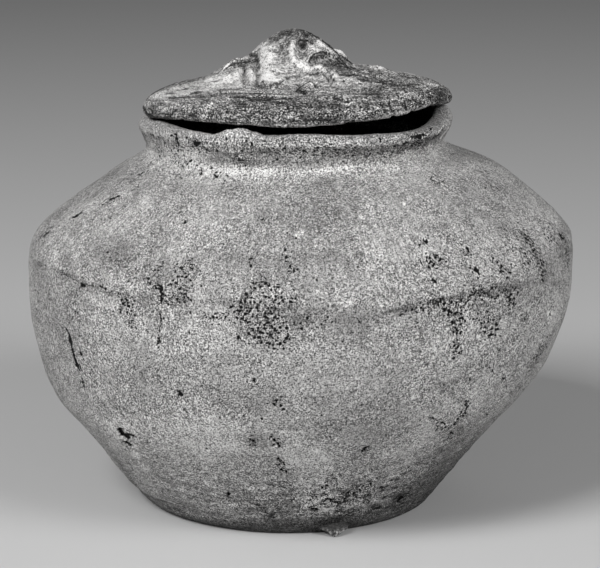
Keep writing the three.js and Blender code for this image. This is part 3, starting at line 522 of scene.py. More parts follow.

# Broad lighter and darker places (front view, as above), the clay's own along with painted ones: painted shade toward
# the lower right, along the foot's edge, above the drip and under the lip, painted light where the shoulder meets the
# neck, and a painted highlight along the foot's bottom edge; amount is a natural logarithm of brightness.
TONE_LIGHT_AND_SHADE_MARKS = [
    # shoulder, with a painted light band where it meets the neck
    (255, 171, 44, 4.2, 1, 0.30), (350, 169, 46, 3.8, -3, 0.34), (408, 160, 22, 4.5, -14, 0.28), (166, 163, 15, 8, 10, 0.24),
    (205, 168, 30, 4.5, 5, 0.24), (436, 153, 12, 9, -20, 0.22), (170, 177, 4, 8, 14, 0.22), (147, 199, 9, 7, -30, 0.18),
    (112, 172, 12, 4, -32, -0.30), (248, 185, 22, 4, 4, -0.12), (322, 202, 32, 22, 0, -0.20), (330, 182, 40, 6, -2, -0.14),
    (118, 253, 22, 12, -8, -0.33), (150, 272, 20, 8, 10, -0.12), (250, 250, 14, 24, 0, -0.14), (66, 226, 26, 8, -40, 0.16),
    (90, 204, 30, 4, -34, 0.10), (60, 212, 24, 2.5, -38, -0.16), (205, 222, 40, 26, 0, 0.06), (432, 208, 22, 14, 20, 0.12),
    (486, 200, 42, 6, 32, -0.16), (470, 176, 30, 4, 28, 0.06), (505, 228, 34, 5, 38, -0.20), (478, 256, 22, 5, 42, -0.22),
    (500, 262, 18, 4, 46, -0.26), (536, 256, 22, 7, 60, -0.30), (548, 222, 22, 4, 46, -0.16), (564, 246, 6, 18, -6, -0.40),
    (383, 252, 26, 16, 0, 0.08), (300, 234, 3.6, 2.6, 0, 0.55), (404, 204, 3, 2, 0, 0.5), (440, 240, 12, 4, 30, 0.10),
    # along the luting seam
    (247, 297, 7, 6, 0, -0.60), (263, 282, 13, 4.5, 4, -0.34), (262, 318, 24, 22, 0, -0.20), (160, 292, 5, 12, 0, -0.34),
    (182, 300, 13, 5, 0, -0.28), (123, 300, 5, 12, 0, -0.20), (82, 286, 6, 4, 20, -0.35), (103, 290, 20, 2.6, 22, -0.22),
    (66, 273, 12, 2.2, 24, -0.25), (205, 315, 20, 3, 6, -0.14), (326, 323, 24, 10, 4, -0.24), (353, 330, 16, 9, 30, -0.26),
    (297, 321, 5, 8, 12, -0.36), (310, 312, 14, 4, -6, -0.12), (339, 340, 12, 4, 20, -0.16), (404, 312, 9, 3, -16, -0.34),
    (427, 304, 14, 3.6, -12, -0.36), (452, 299, 18, 3, -2, -0.32), (484, 291, 18, 3.4, -18, -0.40), (511, 288, 10, 5, -4, -0.50),
    (532, 283, 14, 3.6, -8, -0.32), (556, 282, 10, 4, 0, -0.24), (460, 309, 40, 7, -4, -0.20), (520, 300, 26, 10, 0, -0.16),
    (440, 293, 34, 3, -8, 0.16), (505, 278, 24, 2.6, -14, 0.10), (319, 292, 3, 2, 0, 0.5), (346, 305, 3.4, 3, 0, 0.45),
    (340, 300, 16, 2.6, -12, 0.12), (385, 300, 14, 4, 0, 0.06),
    # belly
    (116, 340, 34, 26, 0, 0.12), (100, 318, 16, 10, 0, 0.10), (200, 380, 46, 34, 0, 0.08), (74, 330, 7, 50, -6, -0.10),
    (45, 300, 9, 60, -5, -0.24), (62, 300, 5, 30, -6, 0.10), (141, 372, 12, 30, -10, -0.08), (330, 372, 40, 26, 0, 0.04),
    (252, 352, 26, 12, 0, -0.10), (278, 402, 8, 8, 0, -0.24), (236, 358, 10, 20, 0, -0.06),
    (395, 380, 14, 60, 0, -0.04), (468, 378, 30, 30, 0, 0.05), (444, 386, 9, 9, 0, -0.22), (545, 345, 10, 34, 28, -0.16),
    (553, 314, 4, 14, 6, 0.20), (524, 330, 4, 26, 6, -0.12), (497, 318, 12, 14, 0, -0.12),
    # lower part, with painted shade toward the lower right and along the foot's edge, and a painted highlight along the
    # foot's bottom edge
    (186, 430, 34, 16, 4, 0.24), (232, 446, 26, 5, 2, 0.20), (226, 446, 9, 2, 0, 0.34), (120, 430, 18, 12, 50, 0.08),
    (252, 441, 8, 6, 0, -0.52), (277, 443, 8, 7, 0, -0.26), (281, 464, 9, 14, 0, -0.26), (150, 452, 10, 5, 50, 0.12),
    (119, 462, 22, 3, 50, -0.28), (132, 478, 20, 3, 48, -0.12), (210, 486, 16, 2.4, 4, 0.28), (256, 488, 12, 2.0, 0, 0.34),
    (272, 477, 3.4, 1.8, 0, 0.6), (228, 505, 10, 1.3, 0, 0.45), (198, 468, 34, 6, 14, -0.14), (228, 496, 5, 4, 0, -0.40),
    (318, 459, 22, 9, 0, 0.24), (316, 452, 10, 4, 0, 0.12), (343, 470, 26, 6, -6, 0.12), (270, 513, 26, 9, 2, -0.42),
    (262, 500, 30, 4, 2, -0.16), (322, 494, 16, 8, 0, -0.34), (364, 491, 18, 8, -12, -0.36), (398, 499, 9, 5, -24, -0.50),
    (352, 516, 34, 5, -8, -0.34), (320, 508, 10, 4, 0, 0.25), (300, 528, 90, 3.5, 0, -0.26), (368, 526, 28, 2.0, -8, 0.30),
    (444, 476, 46, 20, -38, -0.42), (458, 446, 44, 22, -42, -0.34), (130, 425, 60, 50, 30, 0.07), (300, 215, 60, 34, 0, -0.13), (410, 452, 30, 12, -20, -0.10), (480, 446, 36, 12, -46, -0.24), (392, 430, 30, 20, 0, -0.04),
    (180, 512, 26, 4, 22, -0.20), (170, 503, 18, 1.4, 28, 0.28), (190, 516, 20, 1.3, 16, 0.22), (205, 522, 22, 1.3, 10, -0.25),
    (366, 449, 7, 5, 0, -0.22), (537, 358, 18, 4, -52, -0.26), (512, 398, 22, 6, -50, -0.16), (495, 430, 26, 6, -48, -0.10),
    # broad evening out, with painted shade along the foot's edge, above the drip and toward the lower right
    (233, 133, 14, 8, 0, 0.20), (190, 155, 30, 6, 8, 0.13), (255, 156, 40, 6, 0, 0.15), (312, 155, 14, 6, 0, 0.22), (380, 153, 32, 6, -6, 0.12),
    (250, 180, 18, 8, 0, 0.14), (305, 188, 16, 9, 0, 0.10), (390, 180, 44, 10, 0, 0.12), (118, 428, 12, 9, 30, 0.16), (170, 440, 24, 16, 20, 0.12),
    (215, 435, 34, 16, 0, 0.10), (278, 440, 8, 18, 0, 0.14), (305, 462, 22, 14, 0, 0.12), (235, 458, 20, 10, 0, 0.10), (210, 475, 28, 8, 10, 0.12),
    (318, 498, 16, 8, 0, 0.30), (230, 520, 50, 4, 3, 0.16), (470, 335, 8, 16, 0, 0.18), (215, 318, 14, 8, 0, 0.10), (182, 352, 22, 8, 0, 0.08),
    (390, 275, 14, 12, 0, 0.10), (490, 408, 18, 10, -45, 0.10), (455, 160, 12, 8, 0, -0.1), (160, 298, 5, 8, 0, 0.14), (524, 303, 8, 10, 0, 0.14),
    (145, 310, 12, 10, 0, -0.10), (262, 330, 12, 10, 0, -0.08),
    (195, 152, 22, 5, 5, 0.16), (312, 153, 14, 5, 0, 0.22), (380, 152, 30, 5, -4, 0.12), (260, 154, 30, 4, 0, 0.12), (115, 198, 26, 7, -28, 0.12),
    (378, 217, 24, 6, 0, 0.18), (362, 322, 7, 14, 0, -0.10), (380, 333, 10, 7, 0, 0.14), (180, 315, 30, 7, 0, 0.10), (218, 318, 14, 6, 0, 0.12),
    (461, 309, 8, 6, 0, 0.16), (490, 260, 8, 26, 0, 0.12), (553, 225, 10, 14, 0, 0.18), (118, 430, 9, 7, 30, 0.2), (255, 452, 24, 7, 0, 0.10),
    (325, 493, 14, 6, 0, 0.28), (366, 487, 8, 4, 0, 0.24), (286, 496, 9, 14, 0, -0.24), (262, 500, 8, 14, 0, 0.16), (196, 485, 12, 5, 0, -0.14),
    (165, 262, 9, 14, 0, -0.12), (255, 262, 16, 8, 0, -0.12), (280, 260, 12, 7, 0, -0.12), (255, 405, 24, 7, 0, -0.10), (400, 499, 24, 7, -22, -0.22),
    (335, 525, 28, 7, 4, -0.40), (430, 474, 26, 8, -38, -0.10), (282, 316, 20, 10, 0, -0.12), (60, 325, 5, 20, 0, -0.12),
    (190, 440, 40, 22, 6, 0.13), (296, 450, 26, 22, 0, 0.15), (330, 484, 26, 14, 0, 0.12), (420, 442, 30, 12, -30, 0.11),
    (240, 512, 46, 6, 4, 0.16), (215, 470, 40, 10, 6, 0.12), (46, 284, 5, 46, -4, 0.13), (75, 245, 26, 14, -20, 0.10),
    (328, 224, 34, 12, 0, -0.12), (290, 305, 20, 12, 0, -0.12), (350, 270, 14, 14, 0, -0.13), (395, 306, 14, 8, 0, 0.14),
    (461, 306, 8, 6, 0, 0.20), (460, 405, 24, 12, -50, 0.12), (180, 152, 20, 7, 10, 0.22), (366, 318, 8, 12, 0, -0.14),
    (535, 214, 16, 12, 50, 0.10), (122, 428, 8, 6, 40, 0.16), (220, 375, 12, 12, 0, -0.12), (345, 380, 20, 14, 0, -0.10),
    (205, 444, 26, 18, 10, 0.24), (292, 452, 14, 14, 0, 0.24), (320, 490, 14, 16, 0, 0.26), (120, 428, 12, 9, 40, 0.20),
    (352, 483, 14, 16, 0, -0.26), (405, 486, 26, 10, -24, -0.26), (428, 356, 26, 24, 0, 0.14), (478, 252, 20, 9, 40, 0.16),
    (486, 332, 40, 22, 0, 0.10), (544, 330, 12, 22, 12, 0.14), (534, 212, 18, 10, 50, 0.14), (318, 258, 40, 20, 0, -0.15),
    (190, 428, 32, 18, 6, 0.14), (485, 306, 30, 13, 0, 0.11), (398, 453, 46, 12, -12, 0.10), (424, 474, 18, 9, -40, 0.13),
    (322, 482, 16, 9, 0, 0.09), (100, 302, 34, 9, 0, 0.10), (300, 176, 110, 7, 0, 0.08), (300, 152, 130, 6, 0, 0.09),
    (140, 268, 30, 12, 10, -0.13), (150, 304, 8, 12, 0, -0.18), (243, 256, 14, 10, 0, -0.13), (350, 318, 16, 10, 0, -0.13),
    (128, 365, 12, 30, -10, -0.13), (240, 403, 26, 8, 0, -0.12), (360, 415, 42, 16, 0, -0.11), (375, 198, 20, 18, 0, 0.13),
    (128, 216, 24, 12, -30, 0.10), (50, 256, 9, 26, -16, 0.13), (200, 340, 28, 20, 0, 0.11), (436, 430, 30, 20, -40, 0.13),
    (475, 404, 22, 10, -50, 0.14), (185, 150, 24, 7, 10, 0.30), (255, 155, 44, 4, 2, 0.14), (312, 155, 30, 4, 0, 0.14),
    (252, 197, 10, 12, 0, 0.12), (170, 172, 14, 6, 10, -0.14), (300, 522, 100, 8, 0, -0.20), (400, 500, 40, 10, -20, -0.20),
    (192, 155, 14, 8, 0, 0.22), (120, 428, 10, 8, 40, 0.22), (325, 474, 12, 10, 0, 0.18), (325, 500, 14, 7, 0, 0.22), (290, 500, 8, 12, 0, -0.18),
    (302, 322, 10, 8, 0, -0.20), (265, 333, 10, 8, 0, -0.14), (238, 254, 24, 12, 0, -0.12), (160, 300, 8, 8, 0, 0.15), (256, 300, 12, 8, 0, 0.16),
    (463, 316, 10, 8, 0, 0.16), (470, 346, 26, 10, 0, 0.14), (535, 346, 12, 12, 0, 0.14), (440, 478, 24, 14, -40, -0.20), (300, 527, 110, 4, 0, -0.18),
    (180, 436, 30, 14, 8, 0.12), (170, 272, 10, 8, 0, -0.14), (190, 255, 30, 7, 0, -0.10), (418, 385, 14, 26, 0, 0.11), (470, 406, 14, 10, -40, 0.12),
    (535, 250, 8, 10, 0, 0.12), (552, 236, 8, 10, 0, 0.10), (100, 200, 20, 6, -28, 0.12), (60, 256, 14, 8, 0, 0.10), (245, 225, 14, 18, 0, 0.12),
    (60, 276, 8, 8, 0, -0.13), (135, 268, 14, 12, 0, -0.10), (70, 352, 10, 16, 0, -0.12), (300, 402, 60, 9, 0, -0.10), (335, 318, 8, 6, 0, -0.12),
    (310, 155, 20, 5, 0, 0.16), (375, 155, 40, 6, -4, 0.14), (270, 174, 14, 6, 0, 0.16), (255, 505, 14, 8, 0, -0.10), (240, 516, 40, 4, 4, 0.12),
    (335, 521, 26, 6, 0, -0.25), (245, 250, 12, 10, 0, 0.14), (195, 330, 8, 8, 0, 0.08), (165, 335, 10, 8, 0, 0.14), (178, 268, 10, 8, 0, 0.12),
    (475, 318, 12, 9, 0, 0.10), (185, 160, 14, 7, 20, 0.16), (372, 170, 24, 10, 0, 0.08), (120, 428, 10, 7, 40, 0.14), (270, 347, 14, 10, 0, -0.10),
    (230, 450, 90, 36, 0, 0.07), (118, 300, 7, 9, 0, 0.12), (150, 303, 8, 8, 0, -0.12), (225, 302, 12, 6, 0, -0.14), (308, 286, 16, 12, 0, -0.14),
    (428, 258, 10, 6, 0, 0.12), (476, 296, 10, 6, 0, 0.16), (502, 276, 8, 10, 0, 0.14), (424, 325, 8, 8, 0, 0.12), (388, 340, 12, 10, 0, 0.10),
    (265, 330, 8, 6, 0, 0.12), (555, 248, 6, 8, 0, -0.14), (250, 174, 20, 6, 0, 0.12), (190, 160, 8, 6, 0, 0.14), (305, 158, 16, 4, 0, 0.14),
    (43, 300, 5, 50, -4, 0.12), (440, 284, 10, 8, 0, -0.10), (108, 368, 10, 10, 0, -0.12), (138, 352, 10, 14, 0, -0.10), (205, 388, 50, 5, 0, -0.10),
    (290, 462, 12, 8, 0, 0.10), (362, 452, 16, 8, 0, 0.10), (434, 466, 12, 10, -40, 0.10), (450, 424, 10, 8, 0, 0.10), (325, 205, 26, 6, 0, 0.10),
    (118, 430, 9, 7, 40, 0.22), (398, 248, 10, 10, 0, -0.12), (430, 256, 9, 6, 0, 0.12), (264, 445, 5, 9, 0, -0.20), (180, 266, 10, 8, 0, 0.12),
    (143, 270, 8, 7, 0, 0.12), (162, 293, 7, 8, 0, 0.12), (232, 256, 10, 12, 0, -0.12), (453, 308, 14, 7, 30, 0.12), (78, 352, 9, 9, 0, 0.10),
    (140, 378, 22, 10, 0, -0.08), (375, 437, 36, 9, 0, -0.09), (250, 408, 30, 8, 0, -0.08), (215, 512, 30, 5, 6, 0.14), (240, 497, 8, 8, 0, -0.12),
    (270, 508, 6, 10, 0, 0.12), (287, 508, 5, 12, 0, -0.14), (312, 516, 14, 6, 0, 0.14), (500, 192, 26, 8, 36, -0.14), (430, 168, 14, 6, 10, -0.10),
    (230, 500, 140, 30, 0, 0.06), (194, 166, 9, 6, 0, 0.16), (286, 160, 16, 5, 0, 0.14), (287, 146, 5, 6, 0, -0.16), (417, 142, 8, 6, 0, 0.16),
    # neck and lip, with painted shade in the band under the lip
    (300, 141, 90, 6, 0, -0.16), (255, 142, 40, 4, 3, 0.14), (345, 142, 30, 2.4, 0, 0.18), (190, 128, 26, 5, 8, 0.10),
    (300, 152, 84, 5.2, 0, -0.18), (258, 152, 16, 5, 0, -0.12), (290, 149, 9, 6, 0, 0.12), (345, 153, 22, 5, 0, -0.20),
    (374, 150, 10, 5, 0, -0.16), (236, 160, 12, 3, 4, -0.28), (198, 146, 12, 6, 8, -0.24), (176, 140, 3, 9, 4, -0.40),
    (150, 150, 3, 9, 6, 0.30), (160, 148, 5, 9, 10, 0.05), (400, 150, 22, 3, -12, -0.38), (425, 141, 16, 3.4, -26, -0.42),
    (440, 126, 7, 6, 0, -0.18), (419, 136, 5, 3, 0, 0.14), (408, 134, 22, 3, -14, 0.06), (388, 143, 10, 3, 0, 0.14),
]

# Where the grain is coarser (+) or finer (-) than usual, as above.
COARSE_MARKS = [
    (185, 430, 70, 44, 0, 0.14), (80, 340, 50, 80, -8, 0.16), (160, 300, 40, 40, 0, 0.10), (470, 350, 70, 90, 0, 0.12), (340, 370, 60, 50, 0, -0.05),
    (150, 430, 60, 50, 20, 0.16), (330, 450, 90, 30, 0, 0.10), (450, 450, 50, 50, 0, 0.12), (300, 500, 140, 34, 0, 0.45),
    (265, 320, 34, 34, 0, 0.14), (150, 175, 40, 20, -20, 0.12), (300, 143, 150, 12, 0, 0.30), (300, 172, 110, 9, 0, 0.10),
    (420, 140, 30, 12, -20, 0.10), (480, 300, 70, 16, -6, 0.12), (300, 220, 60, 30, 0, 0.05), (300, 205, 230, 40, 0, 0.14), (110, 250, 60, 60, 0, 0.08),
]

# Where the foot's ground is cracked and crumbly.
CRUMBLE_MARKS = [
    (350, 496, 62, 20, -6, 1.0), (300, 512, 50, 14, 0, 0.7), (240, 508, 50, 16, 2, 0.5), (400, 488, 30, 18, -30, 0.8),
    (190, 488, 30, 16, 20, 0.45), (335, 470, 40, 12, 0, 0.5), (240, 470, 60, 16, 0, 0.35), (160, 455, 30, 16, 35, 0.4),
    (445, 450, 30, 14, -40, 0.5), (270, 340, 10, 10, 0, 0.4), (470, 300, 30, 8, -10, 0.4),
]

# The lid's lighter and darker places: its own lighter and darker clay, painted light on faces turned to the light,
# painted shade in its clefts and hollows, and painted highlights along its rim.
LID_TONE_LIGHT_AND_SHADE_MARKS = [
    (268, 56, 9, 15, 12, 0.66), (262, 73, 10, 10, 0, 0.56), (275, 79, 14, 5, -6, 0.46), (285, 68, 14, 8, 0, 0.36),
    (252, 84, 26, 3.4, 4, 0.10), (293.5, 50, 2.8, 10, 6, 0.62), (299, 63, 6, 4, 30, 0.55), (307, 67, 5, 3.2, -30, 0.50),
    (308, 36, 6, 5, 0, -0.28), (336, 72, 8, 8, 0, -0.15), (380, 99, 28, 10, 0, -0.18), (412, 98, 14, 8, 0, -0.12), (178, 112, 18, 6, 5, -0.22),
    (262, 116, 9, 6, 0, -0.16), (230, 90, 36, 5, 0, 0.16), (250, 84, 9, 8, 0, 0.14), (260, 46, 8, 6, 40, 0.16), (395, 120, 12, 3, -8, 0.2),
    (230, 121, 22, 4, 0, 0.16),
    (312, 50, 14, 7, 20, 0.30), (252, 66, 5, 12, 0, 0.15), (158, 110, 7, 7, 0, 0.22), (232, 120, 20, 4, 0, 0.12), (270, 101, 26, 3, 0, 0.14),
    (200, 90, 60, 8, -10, 0.20), (290, 85, 34, 16, 0, 0.16), (345, 80, 30, 14, 10, 0.16), (250, 88, 30, 6, 0, 0.14), (305, 44, 8, 8, 0, 0.16),
    (393, 116, 10, 3, -10, 0.30), (284, 34, 26, 8, 0, 0.10),
    (200, 86, 46, 7, -14, 0.26), (225, 84, 20, 5, -8, 0.12), (250, 72, 7, 14, 0, 0.22), (318, 50, 16, 9, 10, 0.22), (326, 76, 12, 6, 20, 0.18),
    (292, 97, 12, 4, 0, 0.14), (155, 98, 8, 6, -30, 0.16),
    (180, 90, 22, 7, -16, 0.20), (163, 113, 7, 7, 20, 0.26), (205, 88, 40, 7, -8, 0.14), (248, 76, 8, 12, 0, 0.16), (262, 47, 9, 9, -30, 0.18),
    (304, 56, 9, 6, 0, 0.22), (312, 36, 8, 6, 30, -0.25), (232, 108, 14, 5, 0, -0.15), (258, 114, 12, 5, 0, -0.16), (308, 120, 12, 4, 0, -0.26),
    (335, 113, 18, 7, 0, -0.15), (375, 106, 20, 6, 0, -0.14), (396, 90, 12, 8, 0, 0.16), (392, 121, 14, 3, -8, 0.26), (188, 112, 10, 5, 0, -0.14),
    (290, 78, 6, 12, 0, 0.14), (416, 86, 8, 6, 0, 0.12), (345, 92, 6, 4, 0, 0.14),
    (162, 116, 8, 6, 0, 0.18), (184, 115, 14, 5, 10, -0.12), (312, 42, 8, 6, 0, -0.18), (326, 58, 10, 4, 20, 0.16), (337, 77, 7, 7, 0, -0.16),
    (246, 57, 8, 5, -20, 0.18), (398, 122, 14, 3, -8, 0.24), (200, 98, 24, 7, 0, 0.12), (232, 93, 24, 5, 0, 0.10), (258, 99, 20, 5, 0, 0.10), (244, 56, 7, 5, 0, 0.18),
    (310, 40, 9, 8, 0, -0.20), (302, 60, 14, 6, 0, 0.10), (335, 48, 8, 8, 0, -0.14), (334, 118, 14, 5, 0, 0.10), (393, 96, 6, 12, 0, 0.10),
    (303, 44, 4.2, 6.5, 8, -0.45), (303, 55, 3.2, 5, 0, -0.20), (290, 35, 22, 5.5, 0, -0.34), (276, 39, 12, 3.4, -36, -0.25),
    (284, 52, 5, 12, 0, -0.10), (319, 41, 9, 2.6, 30, 0.40), (324, 46, 7, 2.0, 40, 0.20), (313, 58, 2.2, 7, 24, -0.35),
    (325, 53, 10, 1.7, 6, -0.40), (338, 58, 7, 1.8, 32, -0.30), (325, 62, 12, 5, 10, -0.25), (326, 59, 4, 1.6, -20, 0.75),
    (316, 67, 9, 2.2, -10, 0.42), (327, 72, 9, 2.0, 34, 0.40), (331, 77, 8, 1.4, 48, -0.45), (336, 75, 6, 1.6, 45, 0.35),
    (310, 78, 12, 2.0, -14, 0.22), (291, 84, 9, 3, -10, 0.34), (320, 91, 12, 3, 0, 0.26), (354, 84, 17, 5, 8, 0.28),
    (304, 87, 10, 1.2, -22, -0.42), (309, 84.5, 10, 0.9, -14, 0.45), (300, 91, 9, 2.5, 0, -0.38), (346, 67, 26, 3, 20, -0.22),
    (352, 75, 22, 2.0, 20, -0.22), (372, 72, 26, 2.4, 13, -0.16), (341, 51.5, 5, 2.2, 30, 0.50), (379, 67, 6, 2.2, 8, 0.36),
    (374, 79, 34, 2, 12, -0.24), (390, 83, 30, 2, 10, -0.22), (362, 90, 20, 4, 10, -0.14), (345, 62, 4, 3, 20, 0.10),
    # left hill: painted light on its ridge and lit faces, painted shade in its clefts
    (227, 67, 8, 1.8, -40, 0.55), (241, 61, 12, 3.2, -12, -0.42), (254, 58, 6, 4, 10, -0.40), (259, 69, 2.6, 13, 0, -0.25),
    (239, 75, 3.0, 9, 8, 0.34), (246, 75, 2.2, 8, 6, -0.32), (251.5, 76, 2.4, 8, 4, 0.30), (233, 77, 14, 7, 0, 0.30),
    (222, 82, 16, 5, 0, 0.22), (258, 86, 7, 2.0, 0, -0.50),
    # plate, with painted highlights along the rim
    (190, 85, 26, 5, -14, 0.26), (206, 80, 16, 3.4, -14, 0.20), (165, 93, 14, 4, -24, 0.22), (214, 92, 20, 2, -4, -0.20),
    (206, 96, 20, 1.2, -4, -0.34), (250, 97, 26, 1.3, 3, -0.34), (268, 102, 26, 1.4, 2, -0.32), (240, 91, 26, 1.3, 2, -0.20),
    (255, 105, 44, 6, 2, -0.14), (290, 104, 40, 7, 0, -0.22), (330, 108, 34, 7, 0, -0.18), (310, 119, 24, 3.4, 0, -0.46),
    (350, 117, 20, 3, -6, -0.20), (291, 118, 4, 4, 0, 0.45), (195, 107, 18, 6, 4, 0.16), (240, 110, 22, 5, 6, 0.06),
    (160, 112, 12, 5, 20, -0.16), (150, 102, 5, 6, 0, -0.12), (176, 116, 14, 2.4, 14, -0.22),
    (396, 98, 18, 6, -4, 0.24), (405, 93, 14, 1.4, 0, 0.40), (378, 106, 14, 5, 0, 0.16), (372, 110, 10, 5, 0, 0.14),
    (382, 111, 9, 4, -10, -0.28), (360, 96, 12, 4, 0, 0.12), (400, 101, 8, 1.6, -8, -0.30), (420, 92, 20, 4, 6, -0.14),
    (441, 96, 8, 8, 20, -0.60), (437, 85, 12, 1.6, 26, 0.36), (425, 103, 14, 3, -10, -0.24), (414, 78, 22, 2, 9, 0.06),
    (300, 125.5, 56, 1.3, 0, 0.36), (372, 120, 24, 1.2, -10, 0.36), (412, 109, 22, 1.2, -14, 0.25),
    (330, 99, 16, 3, 0, -0.12), (345, 104, 5, 4, 0, 0.16),
]


# Scored lines and stains of the lid, painted shadow in its clefts and under its overhanging ridges, and its rubbed
# edges, pale lines and painted highlights on ridges and rim, as above.
LID_DARK_LINES_AND_SHADOWS = [
    (251, 55, 256, 56, 1.8, 0.95), (257, 60, 258.3, 68, 2.2, 0.5), (257.3, 68, 257.3, 82, 1.6, 0.3), (257, 84, 262, 87, 1.5, 0.7),
    (262, 81, 265, 85, 0.9, 0.7), (234, 65, 257, 62.5, 2.6, 0.34), (224, 70.5, 231, 64.8, 0.8, 0.8), (231, 64.3, 250, 61.6, 0.8, 0.5),
    (243.5, 67, 244.5, 86, 1.9, 0.36), (251.5, 67, 256, 71, 2.2, 0.6), (214, 82, 222, 79.5, 0.8, 0.55),
    (212, 96, 217, 94.6, 1.4, 0.75), (222, 93.6, 262, 93.6, 0.8, 0.5), (230, 97.2, 262, 97.8, 0.9, 0.6), (262, 97.8, 292, 99, 0.9, 0.6),
    (262, 86.8, 270, 86.2, 1.6, 0.5), (270, 84.6, 280, 83.6, 1.2, 0.5), (280, 83, 284, 80.5, 0.6, 0.6), (286.5, 79, 290, 79, 0.9, 0.4),
    (270, 38, 278, 39, 1.6, 0.5), (281, 34, 290, 33, 2.2, 0.5), (291, 30, 297, 34, 2.0, 0.45), (297, 30, 307, 30.5, 1.1, 0.4),
    (303, 34, 307, 37, 1.6, 0.4), (301, 42, 304.5, 48, 3.4, 0.62), (299.5, 40.5, 308, 41, 1.0, 0.7), (309, 32, 319, 38, 1.1, 0.7),
    (311, 41, 312, 44, 1.2, 0.5), (281, 46, 282.5, 49, 1.2, 0.5), (303, 52, 306, 55, 1.6, 0.5), (322, 40.5, 333, 49, 0.75, 0.8),
    (333, 49, 340, 56, 0.7, 0.7), (313, 56.5, 326, 56, 2.8, 0.6), (309.4, 62, 311, 57, 0.9, 0.75), (311, 57, 315, 54, 0.9, 0.75),
    (315, 54, 321, 51.8, 0.8, 0.75), (321, 51.8, 331, 54, 0.9, 0.7), (326, 63, 344, 60, 4.2, 0.42), (338, 67, 349, 69, 1.9, 0.5),
    (340, 75, 350, 76, 0.9, 0.6), (310, 75, 318, 74, 1.2, 0.5), (299, 88, 305, 84.3, 0.7, 0.6), (305, 84.3, 311, 81.3, 0.7, 0.6),
    (311, 81.3, 317, 86, 0.8, 0.55), (315, 87, 319, 88, 0.8, 0.5), (295, 92, 300, 88.4, 0.6, 0.5), (298, 91, 305, 93.5, 1.9, 0.8),
    (323, 74, 329, 81, 0.7, 0.5), (327, 70, 334, 81, 0.7, 0.4), (343.6, 81, 344.4, 81.2, 1.1, 0.95), (330, 86, 336, 88, 0.8, 0.4),
    (350, 67, 360, 70.5, 0.6, 0.6), (345, 58, 352, 64, 0.6, 0.6), (342, 60, 348, 68, 0.7, 0.6), (336, 58, 342, 64, 0.6, 0.5),
    (379, 65, 384, 65.6, 0.6, 0.5), (401, 76.5, 420, 78.5, 0.6, 0.4), (372, 84, 382, 88, 2.0, 0.32), (370, 90, 380, 92, 1.4, 0.4),
    (385, 84, 420, 86, 1.0, 0.32), (352, 74, 372, 79, 0.8, 0.4), (358, 79, 380, 82.5, 0.8, 0.4), (362, 94, 384, 95, 0.9, 0.3),
    (401, 103, 403, 107, 0.8, 0.75), (405.4, 103, 406, 107.5, 0.8, 0.8), (389, 103, 391, 108, 0.9, 0.7), (387, 98, 390, 99, 0.8, 0.6),
    (398, 96, 399, 99, 0.7, 0.5), (412, 98, 414, 101, 0.8, 0.5), (420, 100, 422, 104, 0.8, 0.5), (432, 107, 440, 105, 0.9, 0.6),
    (440, 94, 449, 98, 3.0, 0.4), (437, 101, 447, 102, 2.2, 0.4), (428, 97, 432, 101, 1.2, 0.5), (346, 100.5, 349, 102, 0.9, 0.8),
    (380, 105, 383, 106, 0.9, 0.8), (362, 81, 364, 81.5, 0.9, 0.8), (359, 83.5, 362, 84, 0.9, 0.6), (366, 109, 369, 109, 0.8, 0.6),
    (143, 106, 147, 114, 1.0, 0.65), (147, 113, 152, 117, 1.2, 0.75), (150, 108, 153, 113, 0.8, 0.6), (152, 117, 172, 118, 1.1, 0.6),
    (160, 113, 172, 115, 1.0, 0.5), (182, 113, 200, 117, 1.4, 0.6), (165, 94, 175, 93, 0.7, 0.65), (168, 98, 190, 97, 0.7, 0.55),
    (175, 90, 188, 89, 0.6, 0.5), (190, 94, 202, 91.5, 1.0, 0.6), (200, 97, 205, 96.5, 0.7, 0.5), (248, 99.8, 275, 100.2, 0.9, 0.6),
    (231, 103, 245, 104, 1.1, 0.42), (236, 109, 248, 107, 0.6, 0.5), (240, 111, 249, 110, 0.6, 0.5), (266, 106.5, 269, 109, 0.7, 0.6),
    (276, 104, 297, 101, 0.7, 0.5), (262, 118, 268, 119, 1.0, 0.7), (290, 119, 297, 121, 1.4, 0.7), (300, 118, 312, 120, 1.8, 0.7),
    (316, 119, 330, 120, 1.3, 0.65), (334, 117, 345, 118.5, 1.0, 0.5), (280, 113, 284, 114, 0.8, 0.5), (225, 118, 236, 120, 1.2, 0.5),
    (208, 113, 214, 114, 0.8, 0.5), (246, 116, 252, 117, 0.9, 0.5), (352, 112, 358, 113, 0.9, 0.5), (320, 106, 326, 107, 0.9, 0.5),
    (302, 103, 312, 105, 1.0, 0.45), (334, 98, 342, 100, 1.2, 0.5), (286, 109, 292, 110, 0.8, 0.4), (320, 113, 324, 114, 0.8, 0.5),
]
